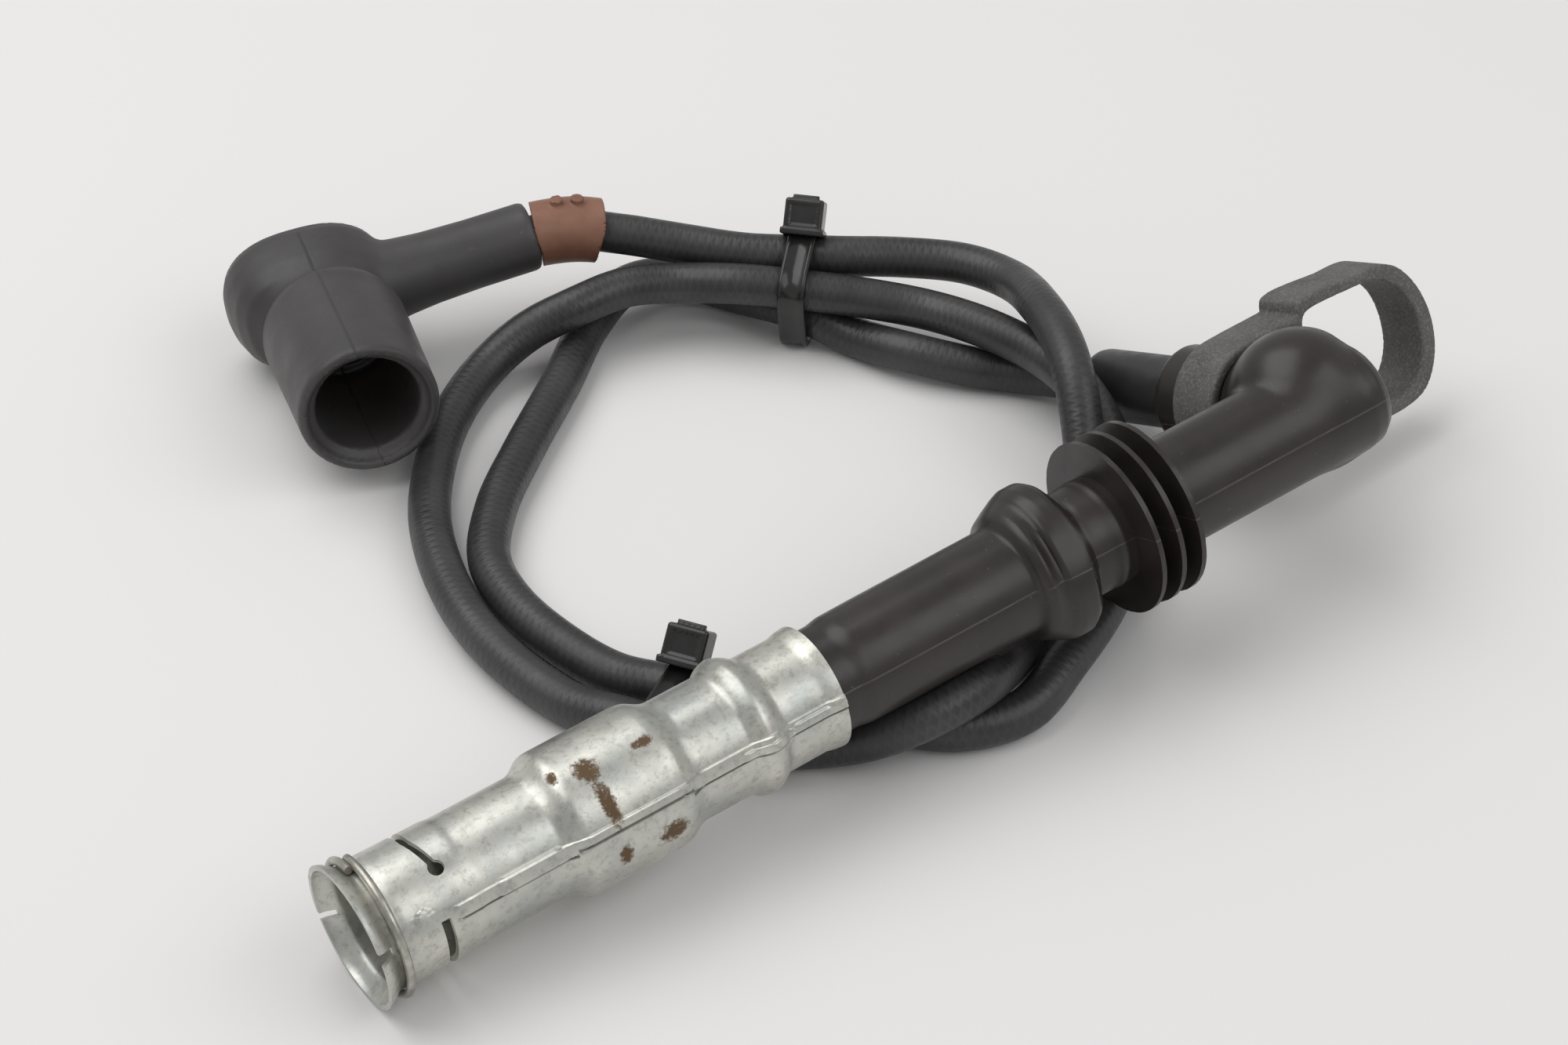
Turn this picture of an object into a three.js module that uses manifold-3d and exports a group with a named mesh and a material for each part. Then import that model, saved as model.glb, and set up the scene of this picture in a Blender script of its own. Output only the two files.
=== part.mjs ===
import * as THREE from "three";
import { mergeVertices } from "three/addons/utils/BufferGeometryUtils.js";
import Module from "manifold-3d";

// Spark plug wire. Millimetres, +Z up, +X from the open sleeve of the plug connector to its elbow.

// Driving sizes
const CABLE_DIAMETER = 7.0;
const FIT_GAP = 0.3;
const SHEET = 0.8;
const FIN_RADIUS = 14.18;
const ARM_LENGTH = 29.2;
const TUBE_LENGTH = 50.5;
const TUBE_RADIUS = 6.0;
const ELBOW_STATION = 175.0;
const NECK_RADIUS = 7.7;
const LOOP_FROM = 13.9;
const LOOP_WIDTH = 9.1;
const LOOP_RING_RADIUS = 9.85;
const DOME_RADIUS = 11.4;
const BOOT_RADIUS = 11.55;
const BOOT_HOLE_RADIUS = 8.6;
const RING_LENGTH = 12.0;
const RING_RADIUS = 5.5;
const RING_BORE = 4.3;
const TIE_WIDTH = 4.7;
const TIE_THICKNESS = 1.1;

// Where the two ends lie
const CONNECTOR_MOUTH = new THREE.Vector3(-106.71, -65.55, 11.20);
const CONNECTOR_TILT = THREE.MathUtils.degToRad(5.31);
const ARM_DIRECTION = new THREE.Vector3(-0.109, 0.908, -0.404).normalize();
const BOOT_MOUTH = new THREE.Vector3(-47.99, 32.31, 16.00);
const BOOT_INWARD = new THREE.Vector3(0.308, 0.948, -0.077).normalize();
const BOOT_ARM_ROOT = new THREE.Vector3(-36.74, 66.89, 13.20);
const BOOT_ARM_END = new THREE.Vector3(-1.51, 58.39, 17.50);

// Centre line of the cable, from inside the connector's tube to inside the boot's arm
const ROUTE = [
  [63.8, -34.7, 13.8], [62.9, -26.5, 10.2], [61.9, -18.3, 6.5], [54.5, -5.3, 3.7],
  [49.1, 0.0, 4.0], [42.4, 8.0, 4.8], [38.3, 18.3, 3.6], [33.4, 28.3, 5.3],
  [28.8, 40.5, 3.6], [23.6, 47.4, 4.3], [17.7, 50.5, 5.5], [11.2, 50.6, 5.6],
  [2.6, 46.7, 3.9], [-10.5, 35.4, 3.6], [-25.1, 23.3, 3.7], [-36.6, 12.9, 3.6],
  [-44.4, 2.0, 3.6], [-46.7, -9.2, 3.6], [-45.7, -21.5, 3.6], [-42.6, -32.5, 3.6],
  [-37.8, -42.0, 5.3], [-30.3, -51.7, 3.6], [-21.5, -57.9, 3.6], [-14.6, -64.7, 3.6],
  [-6.7, -72.1, 3.6], [3.8, -74.6, 3.7], [15.6, -70.1, 4.8], [27.8, -63.7, 5.4],
  [41.4, -52.3, 3.6], [49.9, -40.8, 5.2], [52.4, -33.1, 9.1], [53.3, -25.3, 12.4],
  [54.0, -15.3, 12.4], [52.5, -2.3, 11.2], [48.8, 10.1, 9.6], [41.3, 18.1, 10.5],
  [32.1, 25.4, 11.8], [23.2, 32.0, 12.8], [15.9, 39.1, 11.7], [7.9, 42.9, 11.9],
  [-1.8, 43.9, 11.1], [-10.4, 46.1, 8.0], [-19.3, 45.0, 4.8], [-30.3, 37.7, 3.8],
  [-40.0, 27.1, 3.6], [-47.5, 15.4, 3.7], [-52.5, 1.7, 3.6], [-54.7, -11.3, 3.6],
  [-54.3, -23.4, 3.6], [-51.8, -34.8, 3.7], [-47.7, -43.8, 5.2], [-42.1, -52.4, 5.1],
  [-34.6, -58.1, 4.0], [-26.4, -63.3, 3.8], [-20.2, -68.7, 6.3], [-12.3, -72.8, 9.9],
  [-3.2, -72.5, 10.7], [13.5, -62.3, 3.9], [23.9, -57.6, 4.0], [34.2, -49.3, 4.4],
  [39.8, -43.9, 7.8], [44.4, -37.3, 11.0], [46.8, -32.9, 14.7], [49.3, -27.5, 18.4],
  [52.5, -20.1, 20.0], [56.4, -9.5, 18.9], [60.4, 3.8, 15.1], [57.9, 13.6, 13.9],
  [50.2, 21.3, 13.8], [41.0, 27.0, 14.4], [36.1, 31.3, 14.1], [28.3, 37.1, 14.3],
  [20.3, 44.6, 15.1], [12.4, 51.0, 16.5], [5.2, 56.1, 17.3], [-4.4, 59.1, 17.3],
  [-12.1, 61.0, 16.3], [-18.9, 62.6, 15.5],
];

const wasm = await Module();
wasm.setup();

const group = new THREE.Group();

function flip(index) {
  for (let i = 0; i < index.length; i += 3) {
    const keep = index[i];
    index[i] = index[i + 1];
    index[i + 1] = keep;
  }
}

function solid(geometry) {
  const bare = geometry.clone();
  bare.deleteAttribute("normal");
  bare.deleteAttribute("uv");
  const merged = mergeVertices(bare, 1e-4);
  const source = merged.index.array;
  const index = [];
  for (let i = 0; i < source.length; i += 3) {
    const [a, b, c] = [source[i], source[i + 1], source[i + 2]];
    if (a !== b && b !== c && c !== a) {
      index.push(a, b, c);
    }
  }
  const xyz = merged.attributes.position.array;
  let volume = 0;
  const p = [new THREE.Vector3(), new THREE.Vector3(), new THREE.Vector3()];
  for (let i = 0; i < index.length; i += 3) {
    p.forEach((v, k) => v.fromArray(xyz, index[i + k] * 3));
    volume += p[0].dot(p[1].clone().cross(p[2]));
  }
  if (volume < 0) {
    flip(index);
  }
  return new wasm.Manifold(new wasm.Mesh({
    numProp: 3,
    vertProperties: Float32Array.from(xyz),
    triVerts: Uint32Array.from(index),
  }));
}

function surface(manifold) {
  const mesh = manifold.getMesh();
  const geometry = new THREE.BufferGeometry();
  geometry.setAttribute("position", new THREE.BufferAttribute(Float32Array.from(mesh.vertProperties), 3));
  geometry.setIndex(Array.from(mesh.triVerts));
  geometry.computeVertexNormals();
  return geometry;
}

function add(name, manifold, look) {
  const mesh = new THREE.Mesh(surface(manifold), new THREE.MeshStandardMaterial(look));
  mesh.name = name;
  group.add(mesh);
}

// A turned shape about +X; each profile entry is [station, radius]
function turned(profile, segments, reshape) {
  const points = profile.map(([station, radius]) => new THREE.Vector2(radius, station));
  const geometry = new THREE.LatheGeometry(points, segments);
  if (reshape) {
    const position = geometry.attributes.position;
    for (let i = 0; i < position.count; i += 1) {
      const x = position.getX(i);
      const z = position.getZ(i);
      const moved = reshape(position.getY(i), Math.hypot(x, z), Math.atan2(x, z));
      position.setXYZ(i, moved[0], position.getY(i), moved[1]);
    }
  }
  return geometry.rotateZ(-Math.PI / 2);
}

// An arc-shaped bar about +X; angles are measured from the top towards the front side
function arcBar(from, to, inner, outer, start, end) {
  const steps = Math.max(2, Math.ceil(Math.abs(end - start) / 12));
  const corner = (radius, angle) => {
    const a = THREE.MathUtils.degToRad(angle);
    return new THREE.Vector2(-Math.sin(a) * radius, Math.cos(a) * radius);
  };
  const outline = [];
  for (let i = 0; i <= steps; i += 1) {
    outline.push(corner(outer, start + ((end - start) * i) / steps));
  }
  for (let i = steps; i >= 0; i -= 1) {
    outline.push(corner(inner, start + ((end - start) * i) / steps));
  }
  const shape = new THREE.Shape(outline);
  const geometry = new THREE.ExtrudeGeometry(shape, { depth: to - from, bevelEnabled: false });
  const basis = new THREE.Matrix4().makeBasis(
    new THREE.Vector3(0, 1, 0), new THREE.Vector3(0, 0, 1), new THREE.Vector3(1, 0, 0));
  geometry.applyMatrix4(basis);
  return geometry.translate(from, 0, 0);
}

function radialPin(station, angle, from, to, radius) {
  const pin = new THREE.CylinderGeometry(radius, radius, to - from, 14);
  pin.rotateX(Math.PI / 2);
  pin.translate(0, 0, (from + to) / 2);
  pin.rotateX(THREE.MathUtils.degToRad(angle));
  return pin.translate(station, 0, 0);
}

function frameOf(origin, forward, side) {
  const up = forward.clone().cross(side).normalize();
  const left = up.clone().cross(forward).normalize();
  return new THREE.Matrix4().makeBasis(forward, left, up).setPosition(origin);
}

function placed(geometry, matrix) {
  return solid(geometry.clone().applyMatrix4(matrix));
}

const connectorAxis = new THREE.Vector3(Math.cos(CONNECTOR_TILT), 0, Math.sin(CONNECTOR_TILT));
const connector = frameOf(CONNECTOR_MOUTH, connectorAxis, new THREE.Vector3(0, 1, 0));
const elbow = CONNECTOR_MOUTH.clone().addScaledVector(connectorAxis, ELBOW_STATION);
const arm = frameOf(elbow, ARM_DIRECTION, new THREE.Vector3(-1, 0, 0));

// Shield sleeve of folded sheet steel
const sleeveLine = [
  [0, 11.25], [0.7, 11.05], [1.6, 10.35], [2.55, 9.65], [4.8, 9.7], [5.5, 9.85], [16.3, 9.7], [17.35, 9.5],
  [30.55, 9.5], [31.75, 10.05], [33.1, 11.05], [34.1, 11.3], [48.9, 11.3], [50.3, 11.05], [52.45, 9.85],
  [53.6, 9.55], [62.3, 9.55], [63.5, 10.45], [65, 10.95], [66.5, 10.45], [68.2, 9.3], [75.3, 9.25],
  [76.7, 9.6], [78.1, 9.75],
];
const sleeveInside = sleeveLine.map(([s, r]) => [s, r - SHEET]).reverse();
let sleeve = placed(turned([...sleeveLine, ...sleeveInside, sleeveLine[0]], 40), connector);
const sleeveCuts = [
  arcBar(11.5, 12.8, 8, 12, -100, 24),
  radialPin(12.3, 24, 7, 12, 1.2),
  radialPin(12.3, -100, 7, 12, 1.2),
  arcBar(10.15, 11.65, 8, 12, 66, 190),
  arcBar(-1, 2.0, 8, 13, 65, 69),
  arcBar(-1, 2.0, 8, 13, 245, 249),
];
for (const cut of sleeveCuts) {
  sleeve = sleeve.subtract(placed(cut, connector));
}
// Folded seam standing on the straight stretches of the sleeve
for (const [from, to, radius] of [[13.5, 16.2, 9.7], [17.6, 30.3, 9.5], [34.4, 48.6, 11.3], [53.8, 62.1, 9.55]]) {
  sleeve = sleeve.add(placed(arcBar(from, to, radius - 0.4, radius + 0.45, 63, 71), connector));
}
add("shield_sleeve", sleeve, { color: 0xb9b7a6, roughness: 0.38, metalness: 0.9 });

// Snap ring round the sleeve's groove
const ringTube = 0.65;
const ringRadius = 10.55;
const ringStation = 3.25;
const snapSection = [];
for (let i = 0; i <= 8; i += 1) {
  const a = (i / 8) * Math.PI * 2;
  snapSection.push([ringStation + Math.cos(a) * ringTube, ringRadius + Math.sin(a) * ringTube]);
}
const snapGap = placed(arcBar(ringStation - 1.3, ringStation + 1.3, 9, 12.5, -26, -14), connector);
add("snap_ring", placed(turned(snapSection, 36), connector).subtract(snapGap),
  { color: 0x8d8a80, roughness: 0.35, metalness: 0.95 });

// Connector body: barrel, two-lobed collar, cooling fins, elbow and arm in one moulding
const finSteps = [];
for (const station of [132.6, 136.3, 140.2]) {
  finSteps.push([station - 0.75, 8.9], [station - 0.45, FIN_RADIUS], [station + 0.45, FIN_RADIUS],
    [station + 0.75, 8.9]);
}
const bodyLine = [
  [37.5, 0], [37.5, 7.9], [38, 8.15], [52, 8.15], [54, 8.4], [62.3, 8.4], [63.5, 9.25], [65, 9.8], [66.5, 9.25],
  [68.2, 8.15], [75.3, 8.1], [77.5, 8.3], [81.8, 8.3], [83.8, 8.68], [90, 8.75], [112.4, 8.8], [113.2, 9.0],
  [114.2, 9.0], [116, 9.0], [118.5, 9.0], [121.5, 9.0], [123.4, 9.0], [124.6, 8.8], [125, 8.5], [125.6, 8.7],
  [129.6, 8.75], [129.9, 9.0], [130.4, 9.0], [130.7, 8.8], ...finSteps,
  [142, 8.73], [ELBOW_STATION - 8, 8.75], [ELBOW_STATION - 7, 9.0], [ELBOW_STATION + 2.5, 9.0],
  [ELBOW_STATION + 5, 8.6], [ELBOW_STATION + 7, 7.4], [ELBOW_STATION + 8.4, 5.2], [ELBOW_STATION + 9, 0],
];
const collarRise = [[113.2, 0.6], [114.2, 1.7], [116, 2.8], [118.5, 3.8], [121.5, 3.8], [123.4, 2.4], [124.6, 0]];
function rise(station) {
  for (let i = 1; i < collarRise.length; i += 1) {
    const [s0, h0] = collarRise[i - 1];
    const [s1, h1] = collarRise[i];
    if (station >= s0 && station <= s1) {
      return h0 + ((h1 - h0) * (station - s0)) / (s1 - s0);
    }
  }
  return 0;
}
const lobeAngle = THREE.MathUtils.degToRad(-51);
function collarShape(station, radius, angle) {
  const lobe = Math.pow(Math.abs(Math.cos(angle - lobeAngle)), 1.5);
  const grown = radius > 8 ? radius + rise(station) * (0.42 + 0.58 * lobe) : radius;
  return [Math.sin(angle) * grown, Math.cos(angle) * grown];
}
const lipFrom = LOOP_FROM + LOOP_WIDTH + FIT_GAP;
let body = placed(turned(bodyLine, 36, collarShape), connector);
body = body.add(placed(turned([
  [-2, 0], [-2, 8.6], [8, 8.75], [12.2, 8.45], [LOOP_FROM - 0.4, NECK_RADIUS], [lipFrom, NECK_RADIUS],
  [lipFrom + 0.1, 8.3], [ARM_LENGTH - 0.8, 8.3], [ARM_LENGTH, NECK_RADIUS], [ARM_LENGTH, 0],
], 32), arm));
// Domed corner of the elbow
const dome = new THREE.SphereGeometry(DOME_RADIUS, 36, 24);
dome.translate(3.2, 0.5, 2.2);
body = body.add(placed(dome, arm));
const bores = [
  placed(turned([[36, 0], [36, 6.4], [57, 6.4], [57, 4.5], [ELBOW_STATION, 4.5], [ELBOW_STATION + 2.5, 0]], 24),
    connector),
  placed(turned([[-4, 0], [-4, 3.9], [12.2, 3.9], [12.2, TUBE_RADIUS + FIT_GAP],
    [ARM_LENGTH + 2, TUBE_RADIUS + FIT_GAP], [ARM_LENGTH + 2, 0]], 24), arm),
];
for (const bore of bores) {
  body = body.subtract(bore);
}
add("connector_body", body, { color: 0x2e2627, roughness: 0.42, metalness: 0.0 });

// Parts inside the connector
add("plug_terminal", placed(turned([
  [38.2, 5.1], [38.2, 6.1], [56.7, 6.1], [56.7, 0], [54.5, 0], [54.5, 5.1], [38.2, 5.1],
], 24), connector), { color: 0xb08a46, roughness: 0.35, metalness: 0.9 });
add("suppressor_rod", placed(turned([
  [57, 0], [57, 4.2], [ELBOW_STATION - 4.5, 4.2], [ELBOW_STATION - 4.5, 0],
], 20), connector), { color: 0xd8d2c4, roughness: 0.5, metalness: 0.0 });
add("elbow_terminal", placed(turned([[-3.6, 0], [-3.6, 3.5], [33.7, 3.5], [33.7, 0]], 20), arm),
  { color: 0xb08a46, roughness: 0.35, metalness: 0.9 });

// Pull loop round the arm, drawn in the plane across the arm: first number rearward, second upward
const loopOutline = [
  [13.4, 9.2], [14.2, 11.1], [27.6, 9.9], [30.6, 9.7], [33.6, 9.1], [36.9, 7.2], [39.4, 4.0], [41.1, -0.1],
  [41.7, -4.6], [40.9, -9.3], [38.8, -13.0], [36.4, -15.0], [33, -15.8], [24.8, -15.5], [16, -14.4], [9, -12.2],
  [4.5, -10.5], [1.5, -LOOP_RING_RADIUS],
];
const loopHole = [
  [14, 7.6], [14.6, 8.6], [16, 9.05], [27.8, 8], [29.8, 7.8], [32.2, 6.9], [35.2, 4.7], [37.1, 2.2], [38.1, -0.5],
  [38.5, -3.9], [38, -7.8], [36.9, -10], [35, -12], [32.3, -13.3], [24.8, -13.1], [17, -12.3], [13.2, -10.6],
  [11.8, -8], [12, -3], [13, 3],
];
for (let degrees = 270; degrees >= 90; degrees -= 15) {
  const a = THREE.MathUtils.degToRad(degrees);
  loopOutline.push([Math.cos(a) * LOOP_RING_RADIUS, Math.sin(a) * LOOP_RING_RADIUS]);
}
const toPoints = (list) => list.map(([x, y]) => new THREE.Vector2(x, y));
const loopShape = new THREE.Shape(toPoints(loopOutline).reverse());
loopShape.holes.push(new THREE.Path(toPoints(loopHole)));
const armHole = [];
for (let i = 0; i < 28; i += 1) {
  const a = (i / 28) * Math.PI * 2;
  armHole.push([Math.cos(a) * (NECK_RADIUS + FIT_GAP), Math.sin(a) * (NECK_RADIUS + FIT_GAP)]);
}
loopShape.holes.push(new THREE.Path(toPoints(armHole)));
const loopBlank = new THREE.ExtrudeGeometry(loopShape, { depth: LOOP_WIDTH, bevelEnabled: false });
const rearward = connectorAxis.clone().addScaledVector(ARM_DIRECTION, -connectorAxis.dot(ARM_DIRECTION)).normalize();
const loopUp = ARM_DIRECTION.clone().cross(rearward).normalize();
if (loopUp.z < 0) {
  loopUp.negate();
}
const loopNormal = rearward.clone().cross(loopUp);
const loopSign = Math.sign(loopNormal.dot(ARM_DIRECTION));
const loopOrigin = elbow.clone().addScaledVector(ARM_DIRECTION, loopSign > 0 ? LOOP_FROM : LOOP_FROM + LOOP_WIDTH);
const loopFrame = new THREE.Matrix4().makeBasis(rearward, loopUp, loopNormal).setPosition(loopOrigin);
add("pull_loop", placed(loopBlank, loopFrame), { color: 0x55575a, roughness: 0.75, metalness: 0.0 });

// Sleeve tube that carries the cable out of the arm
const tubeBore = CABLE_DIAMETER / 2 + FIT_GAP;
add("cable_sleeve", placed(turned([
  [12.5, tubeBore], [12.5, TUBE_RADIUS], [TUBE_LENGTH - 1.6, TUBE_RADIUS], [TUBE_LENGTH - 0.4, TUBE_RADIUS - 0.6],
  [TUBE_LENGTH, TUBE_RADIUS - 1.6], [TUBE_LENGTH, tubeBore], [12.5, tubeBore],
], 28), arm), { color: 0x1f1f21, roughness: 0.3, metalness: 0.0 });

// Cable
const route = new THREE.CatmullRomCurve3(ROUTE.map((p) => new THREE.Vector3(...p)));
const cableSection = new THREE.Shape();
for (let i = 0; i < 10; i += 1) {
  const a = (i / 10) * Math.PI * 2;
  const point = [Math.cos(a) * CABLE_DIAMETER / 2, Math.sin(a) * CABLE_DIAMETER / 2];
  if (i === 0) {
    cableSection.moveTo(...point);
  } else {
    cableSection.lineTo(...point);
  }
}
cableSection.closePath();
add("ignition_cable", solid(new THREE.ExtrudeGeometry(cableSection, {
  steps: 96, bevelEnabled: false, extrudePath: route,
})), { color: 0x2b2e33, roughness: 0.5, metalness: 0.0 });

// Distributor boot
const bootAxis = BOOT_INWARD;
const bootArmAxis = BOOT_ARM_END.clone().sub(BOOT_ARM_ROOT).normalize();
const bootArmLength = BOOT_ARM_END.distanceTo(BOOT_ARM_ROOT);
const bootSide = bootArmAxis.clone().addScaledVector(bootAxis, -bootArmAxis.dot(bootAxis)).normalize();
const boot = frameOf(BOOT_MOUTH, bootAxis, bootSide);
const bootArm = frameOf(BOOT_ARM_ROOT, bootArmAxis, bootAxis.clone().negate());
const bootLine = [
  [0, 0], [0, BOOT_RADIUS - 0.5], [0.6, BOOT_RADIUS], [12, 11.9], [25.5, 12.25], [27.2, 11.9], [28.2, 11.1],
  [29, 10.3], [36, 10.3], [36, 0],
];
function drift(station, radius, angle) {
  const shift = radius > 0.1 ? 0.9 * Math.min(station / 25, 1) : 0;
  return [Math.sin(angle) * radius + shift, Math.cos(angle) * radius];
}
let bootBody = placed(turned(bootLine, 36, drift), boot);
// Cap: half width, half height and sideways centre at each station
const capLine = [
  [31.0, 0], [31.0, 0.70], [32.0, 0.82], [34.5, 0.92], [38.5, 0.985], [41.5, 1.0], [43.6, 0.96], [44.8, 0.88],
  [45.3, 0.76], [45.3, 0],
];
function capShape(station, radius, angle) {
  const s = Math.sin(angle);
  const c = Math.cos(angle);
  const n = 2.5;
  const k = Math.pow(Math.pow(Math.abs(s), n) + Math.pow(Math.abs(c), n), -1 / n);
  return [s * k * radius * 14.4 + (radius > 0 ? 2.8 : 0), c * k * radius * 12.3];
}
bootBody = bootBody.add(placed(turned(capLine, 36, capShape), boot));
bootBody = bootBody.add(placed(turned([
  [0, 0], [0, 7.3], [14, 6.75], [bootArmLength - 0.6, 6.05], [bootArmLength, 5.6], [bootArmLength, 0],
], 28), bootArm));
const cableBore = CABLE_DIAMETER / 2 + FIT_GAP;
bootBody = bootBody.subtract(placed(turned([
  [-1, 0], [-1, BOOT_HOLE_RADIUS + 0.9], [1.5, BOOT_HOLE_RADIUS + 0.9], [2.2, BOOT_HOLE_RADIUS], [26, BOOT_HOLE_RADIUS],
  [26, 7.0], [41, 7.0], [41, 0],
], 30), boot));
bootBody = bootBody.subtract(placed(turned([
  [0, 0], [0, cableBore], [bootArmLength + 1, cableBore], [bootArmLength + 1, 0],
], 24), bootArm));
add("distributor_boot", bootBody, { color: 0x4a4d55, roughness: 0.6, metalness: 0.0 });
add("boot_terminal", placed(turned([
  [26.5, 5.7], [26.5, 6.7], [40.7, 6.7], [40.7, 0], [38.7, 0], [38.7, 5.7], [26.5, 5.7],
], 24), boot), { color: 0xb08a46, roughness: 0.35, metalness: 0.9 });

// Pieces clipped and tied on the cable
const samples = route.getSpacedPoints(1600);
function nearestOnRoute(target) {
  let best = 0;
  samples.forEach((p, i) => {
    if (p.distanceTo(target) < samples[best].distanceTo(target)) {
      best = i;
    }
  });
  return best;
}
const RING_AT = new THREE.Vector3(5.96, 55.49, 17.10);
const ringIndex = nearestOnRoute(RING_AT);
const ringSpan = Math.round((RING_LENGTH / route.getLength()) * 1600 / 2);
const ringPath = new THREE.CatmullRomCurve3([-1, -0.5, 0, 0.5, 1].map((k) => samples[ringIndex + Math.round(k * ringSpan)]));
const clip = [];
for (let i = 0; i <= 24; i += 1) {
  const a = THREE.MathUtils.degToRad(12 + (i / 24) * 336);
  clip.push([Math.cos(a) * RING_RADIUS, Math.sin(a) * RING_RADIUS]);
}
for (let i = 24; i >= 0; i -= 1) {
  const a = THREE.MathUtils.degToRad(12 + (i / 24) * 336);
  clip.push([Math.cos(a) * RING_BORE, Math.sin(a) * RING_BORE]);
}
const ring = solid(new THREE.ExtrudeGeometry(new THREE.Shape(toPoints(clip)), {
  steps: 6, bevelEnabled: false, extrudePath: ringPath,
}));
add("marker_ring", ring, { color: 0x7a5238, roughness: 0.45, metalness: 0.0 });

// A band drawn tight round the strands that cross a plane, with its lock head on one side
function tie(name, centre, normal, headSide, count) {
  const frame = frameOf(centre, normal, headSide);
  const inverse = frame.clone().invert();
  const strands = [];
  for (const level of [-TIE_WIDTH / 2, 0, TIE_WIDTH / 2]) {
    const found = [];
    for (let i = 1; i < samples.length; i += 1) {
      const a = samples[i - 1].clone().applyMatrix4(inverse);
      const b = samples[i].clone().applyMatrix4(inverse);
      if ((a.x - level) * (b.x - level) <= 0) {
        found.push([a.y, a.z]);
      }
    }
    found.sort((a, b) => Math.hypot(...a) - Math.hypot(...b));
    strands.push(...found.slice(0, count));
  }
  const hull = (radius) => {
    const points = [];
    for (const [y, z] of strands) {
      for (let i = 0; i < 20; i += 1) {
        const a = (i / 20) * Math.PI * 2;
        points.push([y + Math.cos(a) * radius, z + Math.sin(a) * radius]);
      }
    }
    points.sort((a, b) => a[0] - b[0] || a[1] - b[1]);
    const half = (list) => {
      const chain = [];
      for (const p of list) {
        while (chain.length > 1) {
          const [q, r] = [chain[chain.length - 2], chain[chain.length - 1]];
          if ((r[0] - q[0]) * (p[1] - q[1]) - (r[1] - q[1]) * (p[0] - q[0]) > 1e-9) {
            break;
          }
          chain.pop();
        }
        chain.push(p);
      }
      return chain;
    };
    const lower = half(points);
    const upper = half(points.slice().reverse());
    const ring = [...lower.slice(0, -1), ...upper.slice(0, -1)];
    return ring.filter((p, i) => {
      const q = ring[(i + 1) % ring.length];
      return Math.hypot(p[0] - q[0], p[1] - q[1]) > 0.12;
    });
  };
  const inside = CABLE_DIAMETER / 2 + FIT_GAP + 0.15;
  const outline = (radius) => new THREE.Shape(hull(radius).map(([y, z]) => new THREE.Vector2(y, z)));
  const band = (radius, width) => {
    const blank = new THREE.ExtrudeGeometry(outline(radius), { depth: width, bevelEnabled: false });
    blank.translate(0, 0, -width / 2);
    blank.applyMatrix4(new THREE.Matrix4().makeBasis(
      new THREE.Vector3(0, 1, 0), new THREE.Vector3(0, 0, 1), new THREE.Vector3(1, 0, 0)));
    return placed(blank, frame);
  };
  const reach = Math.max(...hull(inside + TIE_THICKNESS).map(([y]) => y));
  const level = hull(inside + TIE_THICKNESS).reduce((m, p) => (p[0] > m[0] ? p : m))[1];
  const head = new THREE.BoxGeometry(TIE_WIDTH + 2.2, 5.0, 7.2);
  head.translate(0, reach + 1.4, level);
  let shape = band(inside + TIE_THICKNESS, TIE_WIDTH).add(placed(head, frame));
  shape = shape.subtract(band(inside, TIE_WIDTH * 3));
  add(name, shape, { color: 0x17171a, roughness: 0.3, metalness: 0.0 });
}
tie("tie_back", new THREE.Vector3(34.36, 29.09, 9.40), new THREE.Vector3(-0.5, 0.866, 0.0),
  new THREE.Vector3(0.55, 0.32, 0.77), 3);
tie("tie_front", new THREE.Vector3(-41.34, -44.21, 3.60), new THREE.Vector3(0.55, -0.835, 0),
  new THREE.Vector3(0.72, 0.47, 0.5), 2);

export default group;
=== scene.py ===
"""A spark plug wire: plug connector in a steel sleeve, coiled ignition cable and angled distributor boot."""
import math

import bmesh
import bpy
import numpy as np
from mathutils import Matrix, Vector


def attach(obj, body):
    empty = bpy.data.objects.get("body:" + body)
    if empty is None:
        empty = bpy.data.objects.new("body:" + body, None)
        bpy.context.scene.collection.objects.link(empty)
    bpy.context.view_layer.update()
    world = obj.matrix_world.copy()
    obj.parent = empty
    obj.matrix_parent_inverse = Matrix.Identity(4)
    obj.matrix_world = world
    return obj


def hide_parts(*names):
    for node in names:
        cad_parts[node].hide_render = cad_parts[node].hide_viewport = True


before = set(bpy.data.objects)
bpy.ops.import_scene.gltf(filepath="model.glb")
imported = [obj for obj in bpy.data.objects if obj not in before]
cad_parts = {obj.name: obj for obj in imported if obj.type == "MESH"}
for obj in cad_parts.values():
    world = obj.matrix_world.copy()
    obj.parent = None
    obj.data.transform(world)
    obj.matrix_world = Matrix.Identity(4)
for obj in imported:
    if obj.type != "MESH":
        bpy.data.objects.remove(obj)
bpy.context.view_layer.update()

MM = 0.001


def unit(vector):
    return np.asarray(vector, float) / np.linalg.norm(vector)


def square_to(vector, axis):
    """The direction of a vector's part that is square to an axis."""
    return unit(vector - vector.dot(axis) * axis)


# Camera, as the photograph was taken
CAMERA_AT = (-0.25464, -0.38665, 0.36710)
CAMERA_RIGHT = (0.82423, -0.56626, 0.0)
CAMERA_DOWN = (-0.35636, -0.51870, -0.77715)
CAMERA_FORWARD = (0.44007, 0.64054, -0.62932)
LENS = 82.386

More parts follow.
